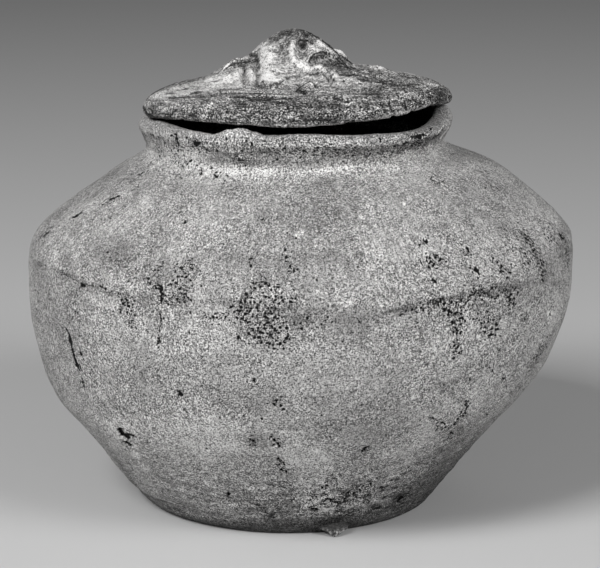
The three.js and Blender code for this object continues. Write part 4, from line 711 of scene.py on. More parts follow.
LID_PALE_LINES_AND_HIGHLIGHTS = [
    (224, 69.3, 227, 66, 1.0, 1), (227, 66, 231, 62.3, 0.9, 0.9), (231, 62, 241, 59.8, 0.7, 0.5), (241, 59.5, 247, 58, 1.0, 0.7),
    (214, 77, 224, 70.5, 0.7, 0.5), (215, 86, 230, 84, 3.6, 0.34), (226, 77, 229, 76, 2.6, 0.4), (236, 73, 237, 83, 2.3, 0.6),
    (250, 73, 253, 80, 2.4, 0.7), (251, 75, 252, 77, 1.4, 0.9), (266, 47, 266, 57, 5.2, 0.5), (263.6, 58, 264.2, 72, 3.2, 0.5),
    (263, 76, 272, 77, 3.6, 0.5), (260.8, 58, 260.8, 70, 0.9, 0.6), (253, 51, 262, 43, 1.2, 0.5), (264, 46, 270, 51, 2.0, 0.6),
    (271, 52, 275, 58, 2.4, 0.35), (270, 62, 282, 70, 5.0, 0.25), (285, 72, 292, 72, 4.0, 0.2),
    (293, 42, 292.5, 50, 2.0, 0.7), (291.2, 51, 294, 59, 1.6, 0.8), (294, 59, 299, 66, 1.8, 0.7), (299, 64.5, 306, 68, 2.2, 0.6),
    (305, 59, 307.4, 64, 1.8, 0.5), (297, 52, 298, 56, 1.3, 0.5), (311, 38, 314, 43, 1.3, 0.5), (313, 47, 318, 50, 1.8, 0.6),
    (318, 42, 326, 47, 2.4, 0.75), (324, 45, 329, 50, 1.6, 0.6), (316, 36, 324, 40.3, 0.8, 0.7), (326.5, 56, 328, 59, 1.6, 0.9),
    (321, 61, 326, 62.5, 1.4, 0.65), (312, 68.5, 320, 66.5, 1.1, 0.8), (303, 71.6, 312, 69.6, 0.9, 0.5), (320, 67, 326, 71, 1.0, 0.6),
    (326, 71, 333, 78, 1.0, 0.5), (334, 71, 337, 76, 1.5, 0.85), (337, 76, 339, 80, 0.8, 0.4), (302, 87, 308, 83.5, 0.8, 0.6),
    (308, 83, 314, 84.6, 0.9, 0.6), (285, 84, 294, 84, 3.4, 0.28), (318, 88, 332, 90, 2.6, 0.25), (340, 82, 356, 84, 5.0, 0.28),
    (229, 91, 246, 91.6, 0.8, 0.7), (250, 96.3, 259, 96.3, 0.7, 0.7), (262, 95.2, 290, 96, 0.7, 0.4), (336, 50, 341, 52, 1.4, 1),
    (341, 52, 346, 57, 1.2, 0.6), (346, 58, 352, 61.5, 0.8, 0.4), (352, 66, 368, 70.5, 0.8, 0.6), (356, 70, 369, 72.5, 0.7, 0.7),
    (362, 75.5, 369, 76.5, 0.9, 0.6), (380, 67, 386, 68.6, 1.0, 0.6), (371, 68, 380, 68, 2.0, 0.3), (385, 74, 400, 77, 1.1, 0.5),
    (398, 78, 418, 80.5, 1.0, 0.5), (424, 82, 438, 86, 1.1, 0.8), (390, 72.5, 420, 76, 0.8, 0.35), (414, 86, 422, 86.5, 0.9, 0.6),
    (391, 90, 396, 96, 1.8, 0.45), (400, 93, 412, 97, 2.2, 0.3), (390, 99, 396, 100, 0.8, 0.7), (396, 99.6, 410, 100.4, 1.2, 0.9),
    (392, 114, 413, 111, 1.0, 0.9), (385, 116, 392, 114, 0.9, 0.6), (372, 119.5, 384, 116.5, 0.9, 0.4), (413, 111, 432, 108, 0.7, 0.4),
    (344, 97, 350, 98.6, 1.4, 0.8), (339, 96, 340, 96.4, 1.0, 0.8), (377, 107.5, 379, 107.8, 0.9, 0.9), (356, 103, 362, 104, 2.0, 0.3),
    (160, 97, 170, 95.5, 0.9, 0.7), (161, 101, 170, 101.5, 0.7, 0.5), (175, 95.4, 190, 93, 0.8, 0.6), (172, 88.5, 182, 87, 0.9, 0.5),
    (200, 91, 215, 86, 0.9, 0.6), (270, 105.5, 281, 104.4, 0.7, 0.7), (223, 103, 230, 102, 0.7, 0.5), (240, 109, 249, 106.5, 0.6, 0.5),
    (222, 115, 229, 114, 1.2, 0.5), (187, 107, 188.4, 106, 0.9, 0.8), (152, 97, 160, 93, 2.0, 0.4), (170, 118.6, 186, 118.2, 0.8, 0.4),
    (200, 83, 212, 79, 1.6, 0.4), (186, 85, 198, 81, 1.6, 0.3), (205, 105, 212, 106, 2.2, 0.3), (289, 117.5, 292, 118.5, 1.4, 0.9),
    (198, 120, 206, 122.3, 0.9, 0.4), (236, 124, 262, 125.4, 0.8, 0.35), (268, 126, 330, 126, 0.8, 0.4),
]


def pit_density(co):
    return marks_at(co, PIT_MARKS, 141, 0.7)


def jar_relief(theta, z, pos, pits, dark=0.0, pale=0.0):
    """Outward displacement in mm of the jar's outside, the same function for every piece."""
    deg = np.degrees(theta)
    d = 0.42 * fbm(pos, 62, 2, 11) + 0.30 * fbm(pos, 21, 2, 12)
    d += 0.13 * fbm(pos, 6.5, 1, 13) + (0.03 + 0.06 * (1 - smoothstep((z - 40) / 60))) * fbm(pos, 2.2, 2, 14)
    # turning marks: strong near the foot, faint elsewhere
    ring = np.stack([z / 3.1, 1.6 * np.cos(theta), 1.6 * np.sin(theta)], -1)
    ring2 = np.stack([z / 1.35, 2.6 * np.cos(theta), 2.6 * np.sin(theta)], -1)
    low = 1 - smoothstep((z - 12) / 42)
    d += (0.10 + 0.46 * low) * lattice_noise(ring, 21) + (0.04 + 0.24 * low) * lattice_noise(ring2, 22)
    # rough, crumbly ground just above the foot
    crumble = (1 - smoothstep((z - 22) / 22)) * smoothstep(0.4 + 0.9 * lattice_noise(pos / 26, 27))
    d += crumble * 0.42 * fbm(pos, 4.4, 3, 28)
    # luting seam: a shallow irregular trough with a slightly proud band under it
    off = z - seam_height(deg)
    here = smoothstep(0.55 + 0.9 * lattice_noise(np.stack([3.3 * np.cos(theta), 3.3 * np.sin(theta), 0 * z], -1), 23))
    d += (0.25 + 0.75 * here) * (-0.42 * gauss(off, 1.3) + 0.22 * gauss(off + 4, 3.2))
    # where the neck ring meets the shoulder
    d += -0.25 * gauss(z - 166.0, 1.6) * (0.5 + lattice_noise(ring, 24))
    # uneven, knocked lip and neck
    lip = smoothstep((z - 168) / 6)
    d += lip * (0.30 * fbm(pos, 9, 3, 29) + 0.14 * fbm(pos, 3, 2, 30))
    # chip, crack and their burst edges
    d += -(0.5 + 0.9 * smoothstep((62 - z) / 4)) * dark + 0.30 * pale
    d += -0.12 * gauss(along_wall(deg, z, SCRATCH, 82), 0.6)
    # crumbled patches where the pinholes gather
    crumb = np.clip(pits, 0, 1)
    d += -0.36 * crumb * smoothstep(lattice_noise(pos / 1.7, 26) * 2.2) - 0.12 * crumb
    return d


def neck_light_and_shade(z, pos):
    """Painted light on the lip's top, painted shade in the band under the lip's overhang, and painted light again where
    the neck meets the shoulder.
    """
    w = z + 1.5 * fbm(pos, 7, 3, 81)
    band = smoothstep((w - 170.0) / 1.4) * (1 - smoothstep((w - 177.2) / 1.6))
    foot = smoothstep((w - 161) / 4) * (1 - smoothstep((w - 169.3) / 1.2))
    return -0.34 * band + 0.16 * foot + 0.10 * smoothstep((w - 178) / 2)


def jar_masks(theta, z, pos, co):
    deg = np.degrees(theta)
    dark = np.maximum(drawn_at(co, DARK_DRAWN, 151), drawn_at(co, PINHOLES, 159, wobble=0.45))
    pale = drawn_at(co, PALE_DRAWN_AND_GLINTS, 155)
    # painted shade: darker toward the foot, more in the lowest 9 mm and most in the undercut's last 3 mm above the
    # floor
    tone_light_and_shade = 1.3 * marks_at(co, TONE_LIGHT_AND_SHADE_MARKS, 101) - 0.36 * smoothstep((34 - z) / 40) - 0.45 * smoothstep((9 - z) / 9) - 0.4 * smoothstep((3 - z) / 3)
    tone_light_and_shade += np.where(z > 158, neck_light_and_shade(z, pos), 0) * smoothstep((z - 158) / 4)
    tone_light_and_shade += 0.16 * fbm(pos, 30, 2, 46) + 0.13 * fbm(pos, 9, 2, 47)
    # painted shade: the inside is darkened
    tone_light_and_shade -= 1.3 * smoothstep((outer_r(z) - 6.5 - np.hypot(pos[:, 0], pos[:, 1])) / 1.5) * smoothstep((z - 5) / 3)
    along = 0.5 + 1.1 * lattice_noise(np.stack([4.2 * np.cos(theta), 4.2 * np.sin(theta), 0 * z], -1), 45)
    return {
        "tone_light_and_shade": np.exp(np.clip(tone_light_and_shade, -1.6, 0.75)),
        "pits": np.clip(pit_density(co), 0, 1.6),
        "seam": z - seam_height(deg),
        "seam_here": np.clip(along, 0.15, 1),
        "scratch": np.minimum(along_wall(deg, z, SCRATCH, 82), along_wall(deg, z, RING_MARK, 127)),
        "height": z,
        "coarse": np.clip(0.35 + marks_at(co, COARSE_MARKS, 131) + 0.06 * fbm(pos, 24, 2, 48), 0.16, 0.85),
        "crumbly": np.clip(marks_at(co, CRUMBLE_MARKS, 171), 0, 1.2),
        "cracks": np.stack([z / 1.5, 17 * np.cos(theta), 17 * np.sin(theta)], -1),
        "dark": dark,
        "pale": pale * (1 - dark),
        "turning": np.stack([z / 1.5, 4.0 * np.cos(theta), 4.0 * np.sin(theta)], -1),
        "runs": np.stack([95 * np.cos(theta), 95 * np.sin(theta), z / 7.5], -1),
    }


def jar_piece(name, profile, angles, scale, caps=(False, False)):
    """profile rows: radius, height, share of the outside's relief, normal. A closed ring, or capped at the axis."""
    profile = np.array(profile, float)
    nj, ni = len(profile), len(angles)
    th = np.tile(angles, nj)
    r, z, share, nr, nz = (np.repeat(profile[:, k], ni) for k in range(5))
    pos = np.stack([r * np.cos(th), r * np.sin(th), z], -1)
    plain = place_jar(th, r, z)
    masks = jar_masks(th, z, pos, plain)
    masks["flat"] = unrolled(profile[:, 0], profile[:, 1], angles, scale)
    d = jar_relief(th, z, pos, masks["pits"], masks["dark"], masks["pale"]) * share
    co = place_jar(th, r + d * nr, z)
    co[:, 2] += d * nz
    quads = ring_quads(nj, ni, closed_j=not any(caps))
    tris = None
    if any(caps):
        tips, fans = [], []
        for k in (0, nj - 1):
            base = np.arange(k * ni, (k + 1) * ni)
            fans.append(fan(base[::-1] if k == 0 else base, len(co) + len(tips)))
            tips.append(co[base].mean(0))
        tris = np.concatenate(fans)
        co = np.concatenate([co, tips])
        masks = {key: np.concatenate([v, v[[0, -1]]]) for key, v in masks.items()}
    return make_mesh(name, co, quads, tris, masks)


def arc_rows(z0, z1, step):
    """Heights spaced evenly along the outside's slope."""
    z = np.linspace(z0, z1, 600)
    s = np.concatenate([[0], np.cumsum(np.hypot(np.diff(z), np.diff(outer_r(z))))])
    return np.interp(np.linspace(0, s[-1], int(round(s[-1] / step)) + 1), s, z)


def rows_at(zs):
    e = 0.4
    dr = (outer_r(zs + e) - outer_r(zs - e)) / (np.minimum(zs + e, 184) - np.maximum(zs - e, 0))
    m = np.sqrt(1 + dr * dr)
    return [[float(outer_r(a)), float(a), 1.0, float(1 / k), float(-b / k)] for a, b, k in zip(zs, dr, m)]


def inner_rows(z0, z1, step):
    z = np.linspace(z0, z1, max(2, int(round((z1 - z0) / step)) + 1))
    return [[float(inner_r(a)), float(a), 0.5, 1.0, 0.0] for a in z]


def flat_rows(z, r0, r1, step):
    r = np.linspace(r0, r1, max(3, int(abs(r1 - r0) / step) + 1))[1:-1]
    return [[float(a), z, 0.0, 0.0, 0.0] for a in r]


ANGLES = uneven_angles(580, 250)

lower = jar_piece("lower_wall_surface",
                  rows_at(np.concatenate([arc_rows(BASE_Z, 44, 0.95), arc_rows(44, 62, 0.42)[1:], arc_rows(62, 70, 0.8)[1:],
                                          arc_rows(70, 103, 0.55)[1:], arc_rows(103, SEAM_Z, 0.9)[1:]]))
                  + flat_rows(SEAM_Z, float(outer_r(SEAM_Z)), float(inner_r(SEAM_Z)), 3)
                  + inner_rows(BASE_Z, SEAM_Z, 6)[::-1]
                  + flat_rows(BASE_Z, float(inner_r(BASE_Z)), float(outer_r(BASE_Z)), 3), ANGLES, 114)
upper = jar_piece("upper_wall_surface",
                  rows_at(np.concatenate([arc_rows(SEAM_Z, 134, 0.5), arc_rows(134, NECK_Z, 0.7)[1:]]))
                  + flat_rows(NECK_Z, float(outer_r(NECK_Z)), float(inner_r(NECK_Z)), 3)
                  + inner_rows(SEAM_Z, NECK_Z, 4)[::-1]
                  + flat_rows(SEAM_Z, float(inner_r(SEAM_Z)), float(outer_r(SEAM_Z)), 3), ANGLES, 118)
base = jar_piece("base_slab_surface",
                 [[2.0, 0.0, 0, 0, 0]] + [[r, 0.0, 0, 0, 0] for r in np.linspace(6, 66, 30)]
                 + [[67.6, 0.03, 0, 0, 0]]
                 + [[row[0] - 0.2 * (row[1] < 0.5), row[1], row[2] * min(1.0, 0.3 + row[1] / 2), row[3], 0.0]
                    for row in rows_at(arc_rows(0.3, BASE_Z, 0.7))]
                 + [[r, BASE_Z, 0, 0, 0] for r in np.linspace(72, 4, 10)],
                 ANGLES, 70, caps=(True, True))

neck_line = curve_through(
    [[float(outer_r(NECK_Z)), NECK_Z], [float(outer_r(166)), 166], [float(outer_r(168)), 168], [70.1, 171.5],
     [71.2, 174.5], [72.3, 177], [72.9, 179], [72.4, 181.2], [70.9, 182.8], [68.7, 183.6], [66.3, 183.5],
     [64.4, 182.6], [63.3, 180.5], [62.5, 176], [62.3, 169], [float(inner_r(NECK_Z)), NECK_Z]], 0.55)
tangent = np.gradient(neck_line, axis=0)
tangent /= np.hypot(*tangent.T)[:, None]
neck_rows = [[p[0], p[1], 1.0, t[1], -t[0]] for p, t in zip(neck_line, tangent)]
neck_rows[0][3:] = rows_at(np.array([NECK_Z]))[0][3:]
neck = jar_piece("neck_rim_surface",
                 neck_rows + flat_rows(NECK_Z, float(inner_r(NECK_Z)), float(outer_r(NECK_Z)), 3), ANGLES, 70)


def rim_lump():
    """A lump of clay fired onto the lip: a lens that follows the lip and swells upwards."""
    arc = np.concatenate([[0], np.cumsum(np.hypot(*np.diff(neck_line, axis=0).T))])
    middle = arc[np.argmax(neck_line[:, 1])] - 2.6
    nu, nv = 150, 60
    u, v = np.meshgrid(np.linspace(-1, 1, nu), np.linspace(-1, 1, nv), indexing="ij")
    u, v = u.ravel(), v.ravel()
    # a disc's worth of the square
    a, b = u * np.sqrt(1 - v * v / 2), v * np.sqrt(1 - u * u / 2)
    angle = np.radians(-111.2 + 11.5 * a)
    s = middle + 7.2 * b
    r, z = np.interp(s, arc, neck_line[:, 0]), np.interp(s, arc, neck_line[:, 1])
    pos = np.stack([r * np.cos(angle), r * np.sin(angle), z], -1)
    q = np.clip(1 - a * a - b * b, 0, 1)
    swell = 3.9 * q**1.15 * (1 + 0.25 * fbm(pos, 7, 2, 71)) + 0.55 * fbm(pos, 4, 3, 72) * np.minimum(1, q * 4) - 0.45
    skew = 1 - 0.18 * a
    normal_r, normal_z = 0.42, 0.91
    plain = place_jar(angle, r, z)
    d = jar_relief(angle, z, pos, pit_density(plain))
    nr, nz = np.interp(s, arc, tangent[:, 1]), np.interp(s, arc, -tangent[:, 0])
    co = place_jar(angle, r + d * nr + swell * skew * normal_r, z)
    co[:, 2] += d * nz + swell * skew * normal_z
    low = place_jar(angle, r - 1.2 * normal_r, z)
    low[:, 2] -= 1.2 * normal_z + 0.2
    both = np.concatenate([co, low])
    masks = jar_masks(np.tile(angle, 2), np.full(2 * len(u), 181.0), np.tile(pos, (2, 1)), both)
    masks["flat"] = np.tile(np.stack([s, 70 * angle, 0 * s + 1000], -1), (2, 1))
    return make_mesh("rim_lump_surface", both, grid_block(nu, nv), None, masks, sharp=85)


lump = rim_lump()


# ------------------------------------------------------------------ lid surface
def lid_tilt(x, y):
    return 0.03 * (x - LID_X) - 0.022 * y


def lid_bend(x, y):
    x = x - LID_X
    r = np.hypot(x, y)
    safe = np.maximum(r, 1.0)
    edge = lid_edge(np.degrees(np.arctan2(y, x))) - 184.6 - (0.03 * x - 0.022 * y) * 70 / safe
    return np.where(r < 1, 0, edge * np.minimum(1, safe / 70) ** 3)


def lid_plane(x, y):
    return lid_top_r(np.hypot(x - LID_X, y)) + lid_tilt(x, y) + lid_bend(x, y)


def hill(x, y, cx, cy, left, right, front, back, rise, power):
    dx, dy = x - cx, y - cy
    q = (dx / np.where(dx < 0, left, right)) ** 2 + (dy / np.where(dy < 0, front, back)) ** 2
    return rise * np.maximum(0, 1 - q) ** power


# Hills of the relief: centre, footprint to left, right, front, back, rise, steepness.
HILLS = {
    "lid_summit": (-3.9, -1, 30.8, 33.5, 40, 31, 16.0, 1.95),
    "lid_peak_left": (-30, -7, 14.7, 15, 22, 17, 6.1, 1.35),
    "lid_peak_front_right": (19, -31, 22, 20, 17, 17, 3.0, 1.5),
    "lid_peak_right": (36.5, 4, 9, 11, 16, 12, 1.7, 1.2),
    "lid_peak_back_left": (-17, 25, 17, 17, 15, 15, 3.4, 1.5),
    "lid_peak_back_right": (12, 27, 16, 15, 15, 14, 3.4, 1.5),
}
SMOOTH = 0.5


def hills_at(x, y):
    parts = {name: hill(x, y, *v) for name, v in HILLS.items()}
    height = np.log(np.exp(np.array(list(parts.values())) * SMOOTH).sum(0) - (len(parts) - 1)) / SMOOTH
    return height, parts


def on_lid(across, down):
    """The point (x, y) of the lid seen at a place in the front view."""
    dx, du = (across - 300) / FOCAL, (284 - down) / FOCAL
    d = np.array([dx, math.cos(PITCH) + du * math.sin(PITCH), -math.sin(PITCH) + du * math.cos(PITCH)])
    y = np.linspace(-72, 60, 2000)
    t = (y + 1000) / d[1]
    x, z = d[0] * t, EYE_Z + d[2] * t
    below = z < lid_plane(x, y) + hills_at(x, y)[0]
    k = int(np.argmax(below)) if below.any() else len(y) // 2
    return float(x[k]), float(y[k])


# Ridges (+) and furrows (-) worked into the clay, by their corners in the front view, half-width and height in mm.
STROKES_SEEN = [
    ([(293.8, 38), (292, 47), (292.5, 55), (296.3, 61.3), (302.5, 66.3), (306.5, 67.8)], 2.0, 2.2),
    ([(302.5, 38), (301.5, 47), (301.5, 54), (303, 60)], 2.7, -2.7),
    ([(310, 33), (316, 38.5), (322, 44), (327.5, 50)], 2.2, 1.2),
    ([(306.3, 68), (307.5, 62), (311.5, 56), (318.8, 52.6), (327.5, 52), (335, 55.5), (343, 61)], 1.5, 2.0),
    ([(311.5, 66), (314, 61), (320, 58), (329, 58), (336, 61.5)], 3.0, -2.6),
    ([(321, 60), (330, 57.8)], 1.0, 0.9),
    ([(303.5, 72), (311, 69), (320, 67.5), (328, 71), (334, 77), (337, 82)], 1.5, 2.0),
    ([(322, 72.5), (328, 77), (331, 83)], 1.1, -1.3),
    ([(334, 68), (340, 73), (343, 79)], 1.2, 1.1),
    ([(301, 80), (311, 75.5), (320, 75.5), (325, 80)], 1.2, 0.9),
    ([(296, 89), (302, 84.5), (311, 82), (318, 83.5)], 0.9, -1.1),
    ([(297, 92.5), (304, 88), (312, 85.5), (320, 88)], 1.1, 1.1),
    ([(299, 95.5), (306, 91), (313, 89.5), (319, 92)], 0.9, -0.9),
    ([(250, 54.5), (256, 57), (259, 63), (258.8, 72), (257, 80), (258.5, 86)], 1.9, -3.4),
    ([(271, 44), (267, 55), (266, 68), (270, 79)], 5.2, 1.7),
    ([(262, 80), (274, 82), (286, 80)], 3.4, 0.9),
    ([(283, 44), (285.5, 56), (288, 66)], 2.6, -1.0),
    ([(220, 74), (225, 68), (231.5, 62.5), (240, 59)], 1.4, 1.3),
    ([(227, 72), (233, 66.5), (241, 63)], 1.4, -1.0),
    ([(236.5, 69), (237.5, 77), (240, 85)], 1.7, 1.5),
    ([(244, 67), (244.5, 76), (245.5, 84)], 1.6, -1.9),
    ([(250, 66), (251.5, 76), (253.5, 85)], 1.7, 1.6),
    ([(229, 76), (231, 84)], 1.6, -0.9),
    ([(254, 86.5), (264, 88), (275, 87.3), (286, 85.2)], 1.2, -1.4),
    ([(341, 62), (354, 68.5), (371, 72.5), (388, 75)], 1.2, 1.0),
    ([(343, 66), (358, 72), (376, 76), (394, 79)], 1.1, -1.0),
    ([(345, 70), (361, 75.5), (380, 79.5), (400, 82)], 1.2, 0.9),
    ([(350, 76), (368, 81), (388, 84.5)], 1.2, -0.9),
    ([(346, 80), (364, 85), (384, 88.5)], 1.3, 0.8),
    ([(332, 48), (340, 55), (352, 62.5)], 1.1, -0.8),
    ([(206, 95.5), (224, 93), (244, 94)], 1.2, -0.8),
    ([(240, 97.5), (262, 96), (290, 98)], 1.2, -0.9),
    ([(262, 102), (282, 101), (304, 103)], 1.2, -0.8),
    ([(196, 90), (212, 86), (228, 85)], 1.6, 0.7),
]
# The far side, which the front view doesn't reach, in plan.
STROKES_FAR = [
    ([(-8, 12), (-12, 20), (-14, 27)], 2.4, 1.6), ([(2, 13), (3, 20), (2, 27)], 2.2, 1.5),
    ([(12, 10), (17, 17), (21, 25)], 2.2, 1.4), ([(-3, 12), (-5, 20), (-6, 28)], 1.9, -1.8),
    ([(8, 13), (10, 20), (12, 28)], 1.9, -1.8), ([(-17, 9), (-20, 16), (-23, 21)], 1.8, -1.9),
    ([(-26, 22), (-22, 29), (-16, 34)], 1.6, 1.3), ([(-18, 24), (-14, 30), (-9, 34)], 1.4, -1.0),
    ([(10, 25), (17, 31), (24, 32)], 1.6, 1.3), ([(6, 29), (11, 35), (18, 38)], 1.4, -1.0),
    ([(25, 8), (32, 12), (40, 14)], 1.5, 1.1), ([(24, 13), (30, 18), (37, 21)], 1.4, -1.0),
]
# Rounded lumps by their place in the front view: across, down, radius, height in mm.
LUMPS_SEEN = [(291, 84, 4.2, 1.2), (320, 91, 4.8, 1.1), (354, 86, 6.5, 1.3), (366, 92, 4.5, 0.8), (279, 92, 5, 0.7)]
LUMPS = [(20.0, 0.5, 3.4, 1.6), (36.0, -2, 4.6, 1.6), (-8, 31, 4.5, 1.2), (27, 20, 4.0, 1.0), (-41.5, 2, 6.0, 1.0)]
LUMPS += [(*on_lid(a, b), c, d) for a, b, c, d in LUMPS_SEEN]


def smooth_path(points, n=7):
    """Catmull-Rom points through a path."""
    p = np.array(points, float)
    if len(p) < 3:
        return [tuple(q) for q in p]
    q = np.concatenate([[2 * p[0] - p[1]], p, [2 * p[-1] - p[-2]]])
    out = []
    for i in range(1, len(q) - 2):
        t = np.linspace(0, 1, n, endpoint=False)[:, None]
        a, b, c, d = q[i - 1], q[i], q[i + 1], q[i + 2]
        out.append(0.5 * (2 * b + (c - a) * t + (2 * a - 5 * b + 4 * c - d) * t**2 + (3 * b - a - 3 * c + d) * t**3))
    out = np.concatenate(out + [p[-1:]])
    return [tuple(v) for v in out]


STROKES = [([on_lid(*q) for q in smooth_path(path, 5)], w, h) for path, w, h in STROKES_SEEN]
STROKES += [(smooth_path(path), w, h) for path, w, h in STROKES_FAR]


def path_distance(x, y, points):
    best = np.full(x.shape, 1e9)
    where = np.zeros(x.shape)
    lengths = [max(1e-6, math.hypot(b[0] - a[0], b[1] - a[1])) for a, b in zip(points[:-1], points[1:])]
    total, run = sum(lengths), 0.0
    for (ax, ay), (bx, by), length in zip(points[:-1], points[1:], lengths):
        dx, dy = bx - ax, by - ay
        t = np.clip(((x - ax) * dx + (y - ay) * dy) / (length * length), 0, 1)
        d = np.hypot(x - ax - t * dx, y - ay - t * dy)
        closer = d < best
        best = np.where(closer, d, best)
        where = np.where(closer, (run + t * length) / total, where)
        run += length
    return best, where


def worked_detail(x, y):
    """Ridges, furrows and lumps at flat arrays x, y."""
    p = np.stack([x, y, 0 * x], -1)
    wx = x + 0.5 * fbm(p, 6, 2, 53)
    wy = y + 0.5 * fbm(p, 6, 2, 54)
    detail = np.zeros(len(x))
    for points, width, rise in STROKES:
        xs, ys = [q[0] for q in points], [q[1] for q in points]
        near = np.nonzero((x > min(xs) - 9) & (x < max(xs) + 9) & (y > min(ys) - 9) & (y < max(ys) + 9))[0]
        if not len(near):
            continue
        d, t = path_distance(wx[near], wy[near], points)
        taper = smoothstep(np.minimum(t, 1 - t) / 0.16 * 0.5 + 0.5)
        detail[near] += rise * taper * np.exp(-np.abs(d / width) ** (1.7 if rise > 0 else 2.0))
    for cx, cy, radius, rise in LUMPS:
        detail += rise * np.maximum(0, 1 - ((wx - cx) ** 2 + (wy - cy) ** 2) / radius**2) ** 1.2
    # combed lines running down to the right
    u, v = x * 0.985 + y * 0.17, y * 0.985 - x * 0.17
    comb = smoothstep((x - 13) / 8) * (1 - smoothstep((np.hypot(x, y) - 56) / 8)) * smoothstep((8 - y) / 10)
    detail += comb * 0.42 * lattice_noise(np.stack([u / 15, v / 1.7, 0 * x], -1), 57)
    return detail


def relief_height(x, y):
    """Height of the relief above the lid's plane, and each hill's share of it."""
    shape = x.shape
    x, y = x.ravel(), y.ravel()
    p = np.stack([x, y, 0 * x], -1)
    wx = x + 0.8 * fbm(p, 13, 2, 51)
    wy = y + 0.8 * fbm(p, 13, 2, 52)
    height, parts = hills_at(wx, wy)
    clay = 0.36 * fbm(p, 8, 3, 55) + 0.15 * fbm(p, 2.2, 2, 56)
    total = height + worked_detail(x, y) + clay * smoothstep(height / 1.5)
    return total.reshape(shape), {n: v.reshape(shape) for n, v in parts.items()}


def lid_masks(co, up, flaking_and_relief_shade):
    """up: 1 on the top side, 0 on the underside."""
    x, y = co[:, 0], co[:, 1]
    theta = np.arctan2(y, x - LID_X)
    r = np.hypot(x - LID_X, y)
    p = np.stack([x, y, 0 * x], -1)
    tone_light_and_shade = 1.45 * marks_at(co, LID_TONE_LIGHT_AND_SHADE_MARKS, 121, 0.55)
    tone_light_and_shade += 0.22 * fbm(p, 16, 2, 91) + 0.16 * fbm(p, 5.5, 2, 92)
    # combed and wiped lines follow the circle, and run down to the right beyond the summit
    u, v = x * 0.985 + y * 0.17, y * 0.985 - x * 0.17
    side = smoothstep((x - 14) / 8) * (1 - smoothstep((r - 58) / 8)) * smoothstep((8 - y) / 10)
    # painted shadow along the dark strokes and painted highlights along the pale ones: broad ones go into the colour,
    # thin ones are kept as lines
    broad_pale_and_lit, broad_dark_and_shaded = [m for m in LID_PALE_LINES_AND_HIGHLIGHTS if m[4] > 1.35], [m for m in LID_DARK_LINES_AND_SHADOWS if m[4] > 1.35]
    tone_light_and_shade += 0.9 * drawn_at(co, broad_pale_and_lit, 165, 14, 0.6) - 1.4 * drawn_at(co, broad_dark_and_shaded, 161, 14, 0.6)
    stroke_lines, dark_line_power = strokes_near(co, [m for m in LID_DARK_LINES_AND_SHADOWS if m[4] <= 1.35], 161, 14)
    pale_strokes, pale_line_power = strokes_near(co, [m for m in LID_PALE_LINES_AND_HIGHLIGHTS if m[4] <= 1.35], 165, 14)
    return {
        # painted shade: the lid's underside is darkened
        "tone_light_and_shade": np.exp(np.clip(tone_light_and_shade * up - 1.0 * (1 - up), -3.0, 1.45)),
        "turning": np.stack([r / 2.6, 3.0 * np.cos(theta), 3.0 * np.sin(theta)], -1),
        "drawn": np.stack([r / 1.3, 10.0 * np.cos(theta), 10.0 * np.sin(theta) + co[:, 2] * 0.6], -1),
        "combing": np.stack([u / 13, v / 1.7, co[:, 2] * 0.2], -1),
        "combed": side,
        "stroke_lines": np.stack([stroke_lines, (1 - np.exp(-2.6 * dark_line_power)) * up, 0 * stroke_lines], -1),
        "pale_strokes": np.stack([pale_strokes, (np.exp(1.0 * pale_line_power) - 1) * up, 0 * stroke_lines], -1),
        "flaking_and_relief_shade": flaking_and_relief_shade,
        "up": up,
    }


